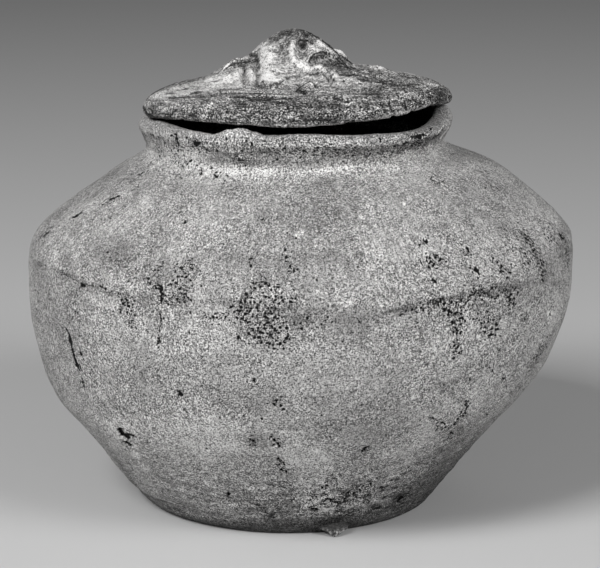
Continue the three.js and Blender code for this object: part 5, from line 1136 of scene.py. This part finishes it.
def lid_plate():
    th = uneven_angles(560, 220)
    ni = len(th)
    line = curve_through(
        [[3.0, 206.1], [12, 205.8], [20, 205.0], [28, 203.2], [36, 201.3], [44, 199.7], [50, 198.2], [56, 197.0],
         [61, 195.8], [65, 194.4], [68, 192.7], [70.2, 191.1], [71.6, 188.9], [72.0, 187.2], [71.5, 185.7],
         [70.2, 184.8], [68.0, 184.6], [65, 185.3], [60, 187.2], [44, 191.6], [22, 196.0], [3.0, 197.6]], 0.8)
    t = np.gradient(line, axis=0)
    t /= np.hypot(*t.T)[:, None]
    nj = len(line)
    r, z = np.repeat(line[:, 0], ni), np.repeat(line[:, 1], ni)
    nr, nz = np.repeat(-t[:, 1], ni), np.repeat(t[:, 0], ni)
    a = np.tile(th, nj)
    x, y = r * np.cos(a), r * np.sin(a)
    p = np.stack([x, y, z], -1)
    turn = int(np.argmax(line[:, 0]))
    up = np.repeat((np.arange(nj) <= turn + 7).astype(float), ni)
    edge = smoothstep((r - 60) / 8)
    d = 0.35 * fbm(p, 26, 2, 61) + 0.24 * fbm(p, 8, 3, 62) + 0.13 * fbm(p, 2.4, 2, 63)
    ring = np.stack([r / 2.6 + z / 5, 2.0 * np.cos(a), 2.0 * np.sin(a)], -1)
    d += 0.34 * lattice_noise(ring, 64) * (1 - 0.4 * edge)
    # nibbled, flaked edge
    nibble = fbm(p, 5.5, 2, 65)
    d -= 0.8 * edge * smoothstep((nibble - 0.22) / 0.3)
    # a flake broken from the front right of the edge
    px, py = seen(np.stack([x + LID_X, y, z + lid_tilt(x + LID_X, y) + lid_bend(x + LID_X, y)], -1))
    flake = ((px - 402) / 13) ** 2 + ((py - 103) / 6.5) ** 2 + 0.5 * fbm(p, 6, 2, 66)
    d -= 0.9 * (1 - smoothstep((flake - 0.5) / 0.5)) * (y < 0) * up
    flat = x.copy(), y.copy()
    r2 = r + d * nr
    x, y = LID_X + r2 * np.cos(a), r2 * np.sin(a)
    lift = lid_tilt(x, y) + lid_bend(x, y)
    on_top = up * (1 - edge)
    detail = worked_detail(x, y) * on_top
    co = np.stack([x, y, z + d * nz + lift + 0.8 * detail], -1)
    stroke_lines = 0.22 * drawn_at(co, LID_PALE_LINES_AND_HIGHLIGHTS, 165, 14, 0.6) - 0.45 * drawn_at(co, LID_DARK_LINES_AND_SHADOWS, 161, 14, 0.6)
    co[:, 2] += stroke_lines * up
    flaking_and_relief_shade = edge * smoothstep((nibble - 0.22) / 0.3)
    masks = lid_masks(co, up, flaking_and_relief_shade)
    masks["flat"] = unrolled(line[:, 0], line[:, 1], th, 72)
    quads = ring_quads(nj, ni, closed_j=False)
    top = len(co)
    tips = [co[:ni].mean(0), co[-ni:].mean(0)]
    tris = np.concatenate([fan(np.arange(ni)[::-1], top), fan(np.arange((nj - 1) * ni, nj * ni), top + 1)])
    co = np.concatenate([co, tips])
    masks = {k: np.concatenate([v, v[[0, -1]]]) for k, v in masks.items()}
    return make_mesh("lid_plate_surface", co, quads, tris, masks)


plate = lid_plate()


def relief_piece(name):
    """One hill as a closed block of clay: its own share of the relief on top, sunk into the plate below."""
    cx, cy, left, right, front, back, rise, power = HILLS[name]
    margin = 5.0
    xs = np.arange(cx - left - margin, cx + right + margin + 0.3, 0.27)
    ys = np.arange(cy - front - margin, cy + back + margin + 0.4, 0.36)
    x, y = np.meshgrid(xs, ys)
    total, parts = relief_height(x, y)
    others = np.max([v for n, v in parts.items() if n != name], axis=0)
    over = np.maximum(0, others - parts[name])
    plane = lid_plane(x, y)
    # beyond its own ground the block dives under its neighbours
    top = plane + total - 0.9 * np.minimum(over, 6) ** 1.5 - 0.3
    reach = np.sqrt(((x - cx) / np.where(x < cx, left, right)) ** 2 + ((y - cy) / np.where(y < cy, front, back)) ** 2)
    top -= 10 * smoothstep((reach - 1.0) / 0.25)
    floor = plane - 2.2
    top = np.maximum(top, floor + 0.3)
    ny, nx = x.shape
    grown = top > plane - 1.6
    # grow the kept area by two cells so that its border lies under the plate
    for _ in range(2):
        g = grown.copy()
        g[1:] |= grown[:-1]
        g[:-1] |= grown[1:]
        g[:, 1:] |= grown[:, :-1]
        g[:, :-1] |= grown[:, 1:]
        grown = g
    cells = grown[:-1, :-1] & grown[1:, :-1] & grown[:-1, 1:] & grown[1:, 1:]
    # the largest connected patch of cells
    label = np.where(cells, np.arange(cells.size).reshape(cells.shape) + 1, 0)
    for _ in range(600):
        m = label.copy()
        m[1:] = np.maximum(m[1:], label[:-1])
        m[:-1] = np.maximum(m[:-1], label[1:])
        m[:, 1:] = np.maximum(m[:, 1:], label[:, :-1])
        m[:, :-1] = np.maximum(m[:, :-1], label[:, 1:])
        m = np.where(cells, m, 0)
        if (m == label).all():
            break
        label = m
    ids, counts = np.unique(label[label > 0], return_counts=True)
    cells = label == ids[counts.argmax()]
    used = np.zeros((ny, nx), bool)
    used[:-1, :-1] |= cells
    used[1:, :-1] |= cells
    used[:-1, 1:] |= cells
    used[1:, 1:] |= cells
    n = int(used.sum())
    index = np.full((ny, nx), -1)
    index[used] = np.arange(n)
    jj, ii = np.nonzero(cells)
    q = np.stack([index[jj, ii], index[jj, ii + 1], index[jj + 1, ii + 1], index[jj + 1, ii]], -1)
    edges = np.concatenate([q[:, [0, 1]], q[:, [1, 2]], q[:, [2, 3]], q[:, [3, 0]]])
    codes = edges[:, 0] * (2 * n) + edges[:, 1]
    border = edges[~np.isin(codes, edges[:, 1] * (2 * n) + edges[:, 0])]
    wall = np.stack([border[:, 1], border[:, 0], border[:, 0] + n, border[:, 1] + n], -1)
    face = np.stack([x[used], y[used], top[used]], -1)
    stroke_lines = 0.22 * drawn_at(face, LID_PALE_LINES_AND_HIGHLIGHTS, 165, 14, 0.6) - 0.45 * drawn_at(face, LID_DARK_LINES_AND_SHADOWS, 161, 14, 0.6)
    face[:, 2] = np.maximum(face[:, 2] + stroke_lines, floor[used] + 0.2)
    co = np.concatenate([face, np.stack([x[used], y[used], floor[used]], -1)])
    # painted light on the relief's raised parts and painted shade in its hollows: the relief less a blurred copy of
    # itself
    blur = total.copy()
    for _ in range(24):
        padded = np.pad(blur, 1, mode="edge")
        blur = (padded[1:-1, 1:-1] * 2 + padded[:-2, 1:-1] + padded[2:, 1:-1] + padded[1:-1, :-2] + padded[1:-1, 2:]) / 6
    raised = (total - blur)[used]
    masks = lid_masks(co, np.ones(len(co)), np.concatenate([raised, 0 * raised]))
    return make_mesh(name + "_surface", co, np.concatenate([q, q[:, ::-1] + n, wall]), None, masks, sharp=80)


hills = {name: relief_piece(name) for name in HILLS}


# ------------------------------------------------------------------ the drip
def foot_drip():
    """A run of clay and ash that reaches the floor: broad where it leaves the wall, narrow and glossy at its toe."""
    import bmesh
    bm = bmesh.new()
    bmesh.ops.create_icosphere(bm, subdivisions=6, radius=1.0)
    n = np.array([v.co for v in bm.verts])
    faces = np.array([[v.index for v in f.verts] for f in bm.faces])
    bm.free()
    co = n * np.array([7.6, 4.8, 3.2])
    co += n * (0.8 * fbm(n, 0.9, 2, 73) + 0.40 * fbm(n, 0.35, 3, 74))[:, None]
    low = smoothstep((1.6 - co[:, 2]) / 4.2)
    co[:, 0] = co[:, 0] * (1 - 0.62 * low) + 0.9 * low
    co[:, 1] -= 2.2 * low
    co += np.array([14.9, -68.4, 2.9])
    co[:, 2] = np.maximum(co[:, 2], 0.1)
    return make_mesh("foot_drip_surface", co, np.zeros((0, 4)), faces, None)


drip = foot_drip()


# ------------------------------------------------------------------ materials
class Tree:
    """Short names for building a node tree."""

    def __init__(self, name):
        self.mat = bpy.data.materials.new(name)
        self.mat.use_nodes = True
        self.nt = self.mat.node_tree
        self.nt.nodes.clear()
        self.out = self.nt.nodes.new("ShaderNodeOutputMaterial")
        self.bsdf = self.nt.nodes.new("ShaderNodeBsdfPrincipled")
        self.nt.links.new(self.bsdf.outputs[0], self.out.inputs[0])
        self.coords = self.nt.nodes.new("ShaderNodeTexCoord").outputs["Object"]

    def put(self, value, socket):
        if isinstance(value, bpy.types.NodeSocket):
            self.nt.links.new(value, socket)
        else:
            socket.default_value = value

    def math(self, op, a, b=0.0, c=0.0):
        n = self.nt.nodes.new("ShaderNodeMath")
        n.operation = op
        for k, v in enumerate((a, b, c)):
            self.put(v, n.inputs[k])
        return n.outputs[0]

    def vec(self, op, a, b=(0, 0, 0), scale=1.0):
        n = self.nt.nodes.new("ShaderNodeVectorMath")
        n.operation = op
        self.put(a, n.inputs[0])
        if op == "SCALE":
            self.put(scale, n.inputs["Scale"])
        else:
            self.put(b, n.inputs[1])
        return n.outputs["Value"] if op in ("DOT_PRODUCT", "LENGTH") else n.outputs[0]

    def noise_node(self, size_mm, detail, rough, vector, offset, unit):
        n = self.nt.nodes.new("ShaderNodeTexNoise")
        n.noise_dimensions = "3D"
        v = self.coords if vector is None else vector
        if offset is not None:
            v = self.vec("ADD", v, offset)
        self.put(v, n.inputs["Vector"])
        n.inputs["Scale"].default_value = unit / size_mm
        n.inputs["Detail"].default_value = detail
        n.inputs["Roughness"].default_value = rough
        return n

    def noise(self, size_mm, detail=2.0, rough=0.5, vector=None, offset=None, unit=1000.0):
        """Noise with features of a given size, 0 to 1 about 0.5."""
        return self.noise_node(size_mm, detail, rough, vector, offset, unit).outputs["Fac"]

    def warped(self, size_mm, amount_mm, offset=None):
        """The object's coordinates pushed about at random by up to about half the amount."""
        n = self.noise_node(size_mm, 1.0, 0.5, None, offset, 1000.0)
        push = self.vec("SUBTRACT", n.outputs["Color"], (0.5, 0.5, 0.5))
        return self.vec("ADD", self.coords, self.vec("SCALE", push, scale=amount_mm * MM))

    def cells(self, size_mm, vector=None, offset=None, unit=1000.0):
        """Voronoi cells: distance to the cell's point in mm and three random numbers for the cell."""
        n = self.nt.nodes.new("ShaderNodeTexVoronoi")
        n.voronoi_dimensions = "3D"
        v = self.coords if vector is None else vector
        if offset is not None:
            v = self.vec("ADD", v, offset)
        self.put(v, n.inputs["Vector"])
        n.inputs["Scale"].default_value = unit / size_mm
        s = self.nt.nodes.new("ShaderNodeSeparateColor")
        self.nt.links.new(n.outputs["Color"], s.inputs[0])
        return self.math("MULTIPLY", n.outputs["Distance"], size_mm), s.outputs[0], s.outputs[1], s.outputs[2]

    def flat_cells(self, size_mm, shift, warped=True, randomness=0.85):
        """The same on the unrolled surface, so that every cell's point lies on the surface."""
        if not hasattr(self, "unrolled"):
            self.unrolled = self.attr("flat", "Vector")
            push = self.noise_node(1.3, 1.0, 0.5, None, (0.21, 0.43, 0.65), 1000.0)
            push = self.vec("SCALE", self.vec("SUBTRACT", push.outputs["Color"], (0.5, 0.5, 0.5)), scale=0.7)
            self.pushed = self.vec("ADD", self.unrolled, push)
        n = self.nt.nodes.new("ShaderNodeTexVoronoi")
        n.voronoi_dimensions = "2D"
        self.put(self.vec("ADD", self.pushed if warped else self.unrolled, (shift, 0.7 * shift, 0)), n.inputs["Vector"])
        n.inputs["Scale"].default_value = 1 / size_mm
        n.inputs["Randomness"].default_value = randomness
        s = self.nt.nodes.new("ShaderNodeSeparateColor")
        self.nt.links.new(n.outputs["Color"], s.inputs[0])
        return self.math("MULTIPLY", n.outputs["Distance"], size_mm), s.outputs[0], s.outputs[1], s.outputs[2]

    def attr(self, name, output="Fac"):
        n = self.nt.nodes.new("ShaderNodeAttribute")
        n.attribute_type = "GEOMETRY"
        n.attribute_name = name
        return n.outputs[output]

    def span(self, value, a, b, c=0.0, d=1.0, smooth=False):
        """Maps a..b to c..d, clamped."""
        n = self.nt.nodes.new("ShaderNodeMapRange")
        n.clamp = True
        n.interpolation_type = "SMOOTHSTEP" if smooth else "LINEAR"
        self.put(value, n.inputs["Value"])
        for key, v in (("From Min", a), ("From Max", b), ("To Min", c), ("To Max", d)):
            self.put(v, n.inputs[key])
        return n.outputs["Result"]

    def mul(self, *values):
        out = values[0]
        for v in values[1:]:
            out = self.math("MULTIPLY", out, v)
        return out

    def add(self, *values):
        out = values[0]
        for v in values[1:]:
            out = self.math("ADD", out, v)
        return out

    def most(self, *values):
        out = values[0]
        for v in values[1:]:
            out = self.math("MAXIMUM", out, v)
        return out

    def about(self, value, amount, middle=0.5):
        """1 plus the value's departure from the middle, times the amount."""
        return self.math("MULTIPLY_ADD", self.math("SUBTRACT", value, middle), amount, 1.0)

    def less(self, value):
        return self.math("SUBTRACT", 1.0, value)

    def grey(self, value):
        """A neutral grey of that brightness, a touch warm."""
        n = self.nt.nodes.new("ShaderNodeCombineColor")
        self.put(self.math("MULTIPLY", value, 1.012), n.inputs[0])
        self.put(value, n.inputs[1])
        self.put(self.math("MULTIPLY", value, 0.988), n.inputs[2])
        return n.outputs[0]

    def bump(self, height_mm, strength=1.0):
        n = self.nt.nodes.new("ShaderNodeBump")
        n.inputs["Strength"].default_value = strength
        n.inputs["Distance"].default_value = MM
        self.put(height_mm, n.inputs["Height"])
        return n.outputs[0]


def pinholes(t, vector, density, size, low, high, offset, unit=1000.0):
    """Small ragged pits, 1 inside. density says what share of the cells holds one."""
    d, r1, r2, _ = t.cells(size, vector, offset, unit)
    radius = t.span(r2, 0, 1, low, high)
    return t.mul(t.span(t.math("SUBTRACT", radius, d), -0.02, 0.07), t.math("LESS_THAN", r1, density))


def round_pits(t, density, size, low, high, shift):
    """Pits, 1 inside, spread over the unrolled surface: whole round holes with ragged edges."""
    d, r1, r2, _ = t.flat_cells(size, shift)
    return t.mul(t.span(t.math("SUBTRACT", t.span(r2, 0, 1, low, high), d), -0.04, 0.05), t.math("LESS_THAN", r1, density))


def clay_grain(t, amount, flat=True):
    """Fine even grain, a natural logarithm of brightness, and the sharper dark (-) and pale (+) specks in it."""
    _, r1, r2, _ = t.cells(0.5, None, (0.31, 0.17, 0.05))
    even = t.mul(t.math("MINIMUM", t.math("MULTIPLY_ADD", t.add(r1, r2), 3.3, -3.3), 1.0), amount)
    d, s1, s2, s3 = t.flat_cells(0.63, 31.7, warped=False) if flat else t.cells(0.78, None, (0.77, 0.42, 0.13))
    inside = t.span(t.math("SUBTRACT", t.span(s2, 0, 1, 0.12, 0.31), d), -0.03, 0.04)
    share = t.span(amount, 0.15, 0.6, 0.5, 0.85)
    dark = t.mul(inside, t.math("LESS_THAN", s1, share), t.span(s3, 0, 1, 0.4, 1.0))
    pale = t.mul(inside, t.math("GREATER_THAN", s1, t.math("MULTIPLY_ADD", share, -0.3, 1.1)))
    d, s1, s2, s3 = t.flat_cells(0.98, 61.3) if flat else t.cells(1.1, None, (0.27, 0.92, 0.53))
    crumb = t.mul(t.span(t.math("SUBTRACT", t.math("MULTIPLY_ADD", amount, 0.12, t.span(s2, 0, 1, 0.16, 0.37)), d), -0.03, 0.04),
                  t.math("LESS_THAN", s1, t.span(amount, 0.15, 0.7, 0.14, 0.6)), t.span(s3, 0, 1, 0.2, 0.85))
    dark = t.most(dark, crumb)
    return even, dark, pale


def finish_clay(t, value, albedo, grain, hole, height, grain_amount):
    even, dark, pale = grain
    value = t.mul(value, t.math("EXPONENT", even))
    value = t.mul(t.add(value, t.mul(pale, value, 0.55)), t.less(dark), t.less(hole))
    colour = t.math("MAXIMUM", t.mul(value, albedo), 0.002)
    t.put(t.grey(t.math("MINIMUM", colour, 0.86)), t.bsdf.inputs["Base Color"])
    t.put(t.math("MULTIPLY_ADD", t.noise(5, 2, 0.5, offset=(0.6, 0.6, 0.1)), 0.2, 0.72), t.bsdf.inputs["Roughness"])
    t.bsdf.inputs["Specular IOR Level"].default_value = 0.28
    rough = t.math("MULTIPLY_ADD", t.noise(0.8, 0, 0.5, offset=(0.2, 0.4, 0.9)), 0.5, -0.25)
    t.put(t.bump(t.add(t.mul(rough, grain_amount), t.mul(hole, -0.6), t.mul(dark, -0.15), height)), t.bsdf.inputs["Normal"])
    return t.mat


def jar_material(name, albedo, marks=True):
    t = Tree(name)
    # This attribute holds the clay's own lighter and darker places together with the painted light and shade.
    tone_light_and_shade, pits, z = t.attr("tone_light_and_shade"), t.attr("pits"), t.attr("height")
    coarse = t.attr("coarse")
    patch = t.span(t.noise(15, 3, 0.6, offset=(0.9, 0.2, 0.7)), 0.36, 0.64, 0.65, 1.3)
    grain_amount = t.mul(t.add(coarse, t.mul(pits, 0.12)), patch)
    grain = clay_grain(t, grain_amount)
    mottle = t.about(t.noise(7.0, 1.0, 0.6), t.math("MULTIPLY_ADD", coarse, 1.8, -0.2))
    clump = t.about(t.noise(2.4, 1, 0.6, offset=(0.7, 0.2, 0.4)), t.math("MAXIMUM", t.math("MULTIPLY_ADD", coarse, 3.4, -1.1), 0.0))
    runs = t.noise(1.0, 2, 0.6, vector=t.attr("runs", "Vector"), unit=1.0)
    turning = t.noise(1.0, 3, 0.65, vector=t.attr("turning", "Vector"), unit=1.0)
    high = t.mul(t.span(z, 118, 130), t.span(z, 164, 158))
    low = t.span(z, 64, 10)
    value = t.mul(tone_light_and_shade, mottle, clump, t.about(runs, t.mul(high, 1.0)),
                  t.about(turning, t.math("MULTIPLY_ADD", low, 1.5, 0.2)))
    # luting seam: a broken dark line with a soft stain about it
    wander = t.add(t.mul(t.math("SUBTRACT", t.noise(9, 2, 0.5, offset=(0.1, 0.1, 0.8)), 0.5), 5.0),
                   t.mul(t.math("SUBTRACT", t.noise(1.6, 2, 0.6, offset=(0.4, 0.6, 0.8)), 0.5), 3.2))
    off = t.math("ABSOLUTE", t.add(t.attr("seam"), wander))
    here = t.mul(t.attr("seam_here"), t.span(t.noise(7, 2, 0.5, offset=(0.9, 0.3, 0.3)), 0.34, 0.58))
    value = t.mul(value, t.less(t.mul(t.span(off, 1.3, 0.2), here, 0.6)), t.less(t.mul(t.span(off, 6, 0, smooth=True), here, 0.2)))
    # pale flecks
    speck, s1, s2, _ = t.flat_cells(1.3, 47.3)
    fleck = t.mul(t.span(t.math("SUBTRACT", t.span(s2, 0, 1, 0.16, 0.48), speck), -0.05, 0.06),
                  t.math("LESS_THAN", s1, t.mul(t.span(tone_light_and_shade, 0.8, 1.6, 0.1, 1.0), coarse, 0.45)))
    value = t.add(value, t.mul(fleck, 0.65))
    ragged = t.math("SUBTRACT", t.noise(1.4, 2, 0.6, offset=(0.2, 0.9, 0.1)), 0.5)
    scratch = t.span(t.add(t.attr("scratch"), t.mul(ragged, 1.6)), 0.9, 0.2)
    value = t.add(value, t.mul(scratch, 0.4))
    # pits
    many = t.span(pits, 0.10, 0.62)
    big = round_pits(t, t.mul(many, 0.50), 2.0, 0.36, 0.66, 5.3)
    small = round_pits(t, t.math("MULTIPLY_ADD", many, 0.36, 0.012), 1.2, 0.24, 0.45, 17.9)
    stretched = pinholes(t, t.attr("runs", "Vector"), t.mul(many, high, 0.10), 1.1, 0.2, 0.5, (0.4, 0.4, 0.4), unit=1.0)
    solid = t.span(t.add(pits, t.mul(ragged, 0.8)), 1.2, 1.34)
    holes = [big, small, stretched, solid]
    if marks:
        holes.append(t.span(t.math("ADD", t.attr("dark"), t.mul(ragged, 0.8)), 0.42, 0.62))
        # pale specks and marks, with painted glints at the chip and a painted highlight along the foot's bottom edge
        value = t.add(value, t.mul(t.span(t.math("ADD", t.attr("pale"), t.mul(ragged, 0.7)), 0.18, 0.5), 1.9))
    crackle = t.noise(1.0, 2, 0.6, vector=t.attr("cracks", "Vector"), unit=1.0)
    crumbly = t.mul(t.attr("crumbly"), t.span(t.noise(11, 2, 0.6, offset=(0.3, 0.6, 0.2)), 0.30, 0.52, 0.35, 1.0))
    crack = t.mul(t.span(crackle, 0.41, 0.36), t.math("MINIMUM", t.add(t.mul(crumbly, 0.8), t.mul(t.span(z, 60, 40), pits, 0.9)), 1.0))
    holes.append(t.mul(crack, 0.85))
    value = t.mul(value, t.about(crackle, t.mul(crumbly, 2.6)))
    hole = t.most(*holes)
    height = t.add(t.mul(t.math("SUBTRACT", crackle, 0.5), crumbly, 1.1), t.mul(t.math("SUBTRACT", t.noise(2.6, 1, 0.6), 0.5), t.math("MULTIPLY_ADD", coarse, 1.4, -0.28)),
                   t.mul(t.math("SUBTRACT", turning, 0.5), t.math("MULTIPLY_ADD", low, 0.5, 0.08)),
                   t.mul(t.math("SUBTRACT", runs, 0.5), t.mul(high, 0.4)), t.mul(fleck, 0.12))
    return finish_clay(t, value, albedo, grain, hole, height, grain_amount)


def lid_material(name, albedo, flat):
    t = Tree(name)
    # This attribute holds the clay's own lighter and darker places together with the painted light and shade.
    tone_light_and_shade, flaking_and_relief_shade = t.attr("tone_light_and_shade"), t.attr("flaking_and_relief_shade")
    dark = t.span(tone_light_and_shade, 1.2, 0.6)
    grain_amount = t.mul(t.math("MULTIPLY_ADD", dark, 0.4, 0.72) if flat else t.math("MULTIPLY_ADD", dark, 0.45, 0.36),
                         t.span(t.noise(12, 3, 0.6, offset=(0.9, 0.2, 0.7)), 0.36, 0.64, 0.75, 1.25))
    grain = clay_grain(t, grain_amount, flat)
    turning = t.noise(1.0, 3, 0.65, vector=t.attr("turning", "Vector"), unit=1.0)
    combing = t.noise(1.0, 3, 0.65, vector=t.attr("combing", "Vector"), unit=1.0)
    combed = t.attr("combed")
    streak = t.add(t.mul(turning, t.less(combed)), t.mul(combing, combed))
    drawn = t.noise(1.0, 2, 0.6, vector=t.attr("drawn", "Vector"), unit=1.0)
    # thin dark scored lines
    scored = t.mul(t.span(t.math("ABSOLUTE", t.math("SUBTRACT", streak, 0.47)), 0.035, 0.0),
                   t.span(t.noise(8, 2, 0.6, offset=(0.2, 0.2, 0.2)), 0.4, 0.6))
    # worn in flakes with sharp edges, more of them dark where the tone is low
    flaky = t.add(t.noise(1.1, 2, 0.75, offset=(0.15, 0.85, 0.35)), t.mul(drawn, 0.7), t.mul(streak, 0.5))
    flaky = t.span(flaky, t.math("MULTIPLY_ADD", dark, 0.05, 1.02), t.math("MULTIPLY_ADD", dark, 0.05, 1.08))
    # the relief's raised parts are painted lighter and its hollows painted in shade; the flaked edge of the plate is
    # made paler
    value = t.mul(tone_light_and_shade, t.about(t.noise(6.0, 1.5, 0.6), 0.6), t.math("MULTIPLY_ADD", flaky, 0.52, 0.74),
                  t.about(streak, 1.9), t.about(drawn, 1.8), t.less(t.mul(scored, 0.45)), t.span(flaking_and_relief_shade, -0.9, 0.8, 0.42, 1.5))
    ragged = t.math("MULTIPLY_ADD", t.noise(1.0, 1, 0.6, offset=(0.2, 0.9, 0.1)), 1.6, -0.8)
    # dark lines with painted shadow in the clefts and under overhangs, pale lines with painted highlights on the ridges
    # and rim
    stroke_lines, pale_strokes = t.nt.nodes.new("ShaderNodeSeparateXYZ"), t.nt.nodes.new("ShaderNodeSeparateXYZ")
    t.put(t.attr("stroke_lines", "Vector"), stroke_lines.inputs[0])
    t.put(t.attr("pale_strokes", "Vector"), pale_strokes.inputs[0])
    dark_lines_and_shadows = t.mul(t.span(t.add(stroke_lines.outputs[0], ragged), -0.25, 0.1), stroke_lines.outputs[1])
    pale_lines_and_highlights = t.mul(t.span(t.add(pale_strokes.outputs[0], ragged), -0.25, 0.1), pale_strokes.outputs[1])
    value = t.mul(value, t.less(dark_lines_and_shadows), t.add(pale_lines_and_highlights, 1.0))
    speck, s1, s2, _ = t.cells(1.25, t.warped(0.9, 0.7, (0.3, 0.1, 0.2)), (0.2, 0.5, 0.3))
    fleck = t.mul(t.span(t.math("SUBTRACT", t.span(s2, 0, 1, 0.2, 0.55), speck), -0.05, 0.06),
                  t.math("LESS_THAN", s1, t.span(tone_light_and_shade, 0.6, 1.6, 0.1, 0.3)))
    value = t.add(t.math("MAXIMUM", value, 0.05), t.mul(fleck, 0.9))
    many = t.math("MULTIPLY_ADD", dark, 0.42, 0.06)
    hole = round_pits(t, many, 1.4, 0.24, 0.55, 3.3) if flat else pinholes(t, t.warped(1.2, 1.7), many, 1.5, 0.22, 0.55, (0.3, 0.8, 0.4))
    height = t.add(t.mul(t.math("SUBTRACT", t.noise(2.6, 3, 0.6), 0.5), 0.8), t.mul(t.math("SUBTRACT", streak, 0.5), 0.8),
                   t.mul(fleck, 0.12))
    return finish_clay(t, value, albedo, grain, hole, height, grain_amount)


def glass_drip_material():
    t = Tree("glassy_drip")
    lump = t.span(t.noise(1.1, 2, 0.6), 0.40, 0.60, smooth=True)
    split = t.nt.nodes.new("ShaderNodeSeparateXYZ")
    t.put(t.coords, split.inputs[0])
    toe = t.span(split.outputs[2], 0.0042, 0.0022, smooth=True)
    clay = t.mul(t.math("MULTIPLY_ADD", t.noise(0.8, 1, 0.6, offset=(0.1, 0.5, 0.2)), 0.13, -0.01), t.math("MULTIPLY_ADD", lump, 0.6, 0.7))
    # painted highlight: pale spots on the lumps of the toe
    t.put(t.grey(t.add(clay, t.mul(toe, t.span(lump, 0.65, 0.95), 0.3))), t.bsdf.inputs["Base Color"])
    t.put(t.math("MULTIPLY_ADD", toe, -0.6, 0.75), t.bsdf.inputs["Roughness"])
    t.put(t.mul(toe, 0.45), t.bsdf.inputs["Coat Weight"])
    t.bsdf.inputs["Coat Roughness"].default_value = 0.08
    t.put(t.bump(t.mul(t.noise(1.3, 2, 0.6), 1.1)), t.bsdf.inputs["Normal"])
    return t.mat


jar_clay = jar_material("jar_clay", 0.445)
lip_clay = jar_material("lip_clay", 0.413)
# The foot takes a darker copy of the jar's clay: painted shade at the foot.
foot_clay = jar_material("foot_clay", 0.29, marks=False)
lid_clay = lid_material("lid_clay", 0.254, True)
relief_clay = lid_material("relief_clay", 0.229, False)
drip_glass = glass_drip_material()


def dress(obj, material, slot, body, *nodes):
    obj.data.materials.clear()
    obj.data.materials.append(material)
    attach(obj, body)
    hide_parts(*nodes)


dress(base, foot_clay, "foot_clay", "jar", "base_slab")
dress(lower, jar_clay, "jar_clay", "jar", "lower_wall")
dress(upper, jar_clay, "jar_clay", "jar", "upper_wall")
dress(neck, lip_clay, "lip_clay", "jar", "neck_rim")
dress(lump, lip_clay, "lip_clay", "jar", "rim_lump")
dress(drip, drip_glass, "glassy_drip", "jar", "foot_drip")
dress(plate, lid_clay, "lid_clay", "lid", "lid_plate")
for name, obj in hills.items():
    dress(obj, relief_clay, "relief_clay", "lid", name)

# ------------------------------------------------------------------ floor, light
floor_mesh = bpy.data.meshes.new("floor")
s = 9.0
floor_mesh.from_pydata([(-s, -s, 0), (s, -s, 0), (s, s, 0), (-s, s, 0)], [], [(0, 1, 2, 3)])
floor = bpy.data.objects.new("floor", floor_mesh)
bpy.context.scene.collection.objects.link(floor)
floor_mat = bpy.data.materials.new("pale_floor")
floor_mat.use_nodes = True
floor_bsdf = floor_mat.node_tree.nodes["Principled BSDF"]
floor_bsdf.inputs["Base Color"].default_value = (0.62, 0.62, 0.62, 1)
floor_bsdf.inputs["Roughness"].default_value = 0.9
floor_bsdf.inputs["Specular IOR Level"].default_value = 0.1
floor_mesh.materials.append(floor_mat)


def area_light(name, place, target, size, power):
    data = bpy.data.lights.new(name, "AREA")
    data.shape = "RECTANGLE"
    data.size, data.size_y = size
    data.energy = power
    obj = bpy.data.objects.new(name, data)
    obj.location = place
    obj.rotation_euler = (Vector(target) - Vector(place)).to_track_quat("-Z", "Y").to_euler()
    bpy.context.scene.collection.objects.link(obj)
    return obj


area_light("key", (-1.15, -1.45, 1.75), (0, 0, 0.1), (0.8, 0.8), 46)
area_light("fill", (1.6, -1.5, 1.45), (0, 0, 0.1), (1.0, 1.0), 30)
world = bpy.data.worlds.new("world")
world.use_nodes = True
world.node_tree.nodes["Background"].inputs[0].default_value = (1, 1, 1, 1)
world.node_tree.nodes["Background"].inputs[1].default_value = 0.11
bpy.context.scene.world = world
bpy.context.scene.view_settings.view_transform = "Standard"
bpy.context.scene.view_settings.look = "None"
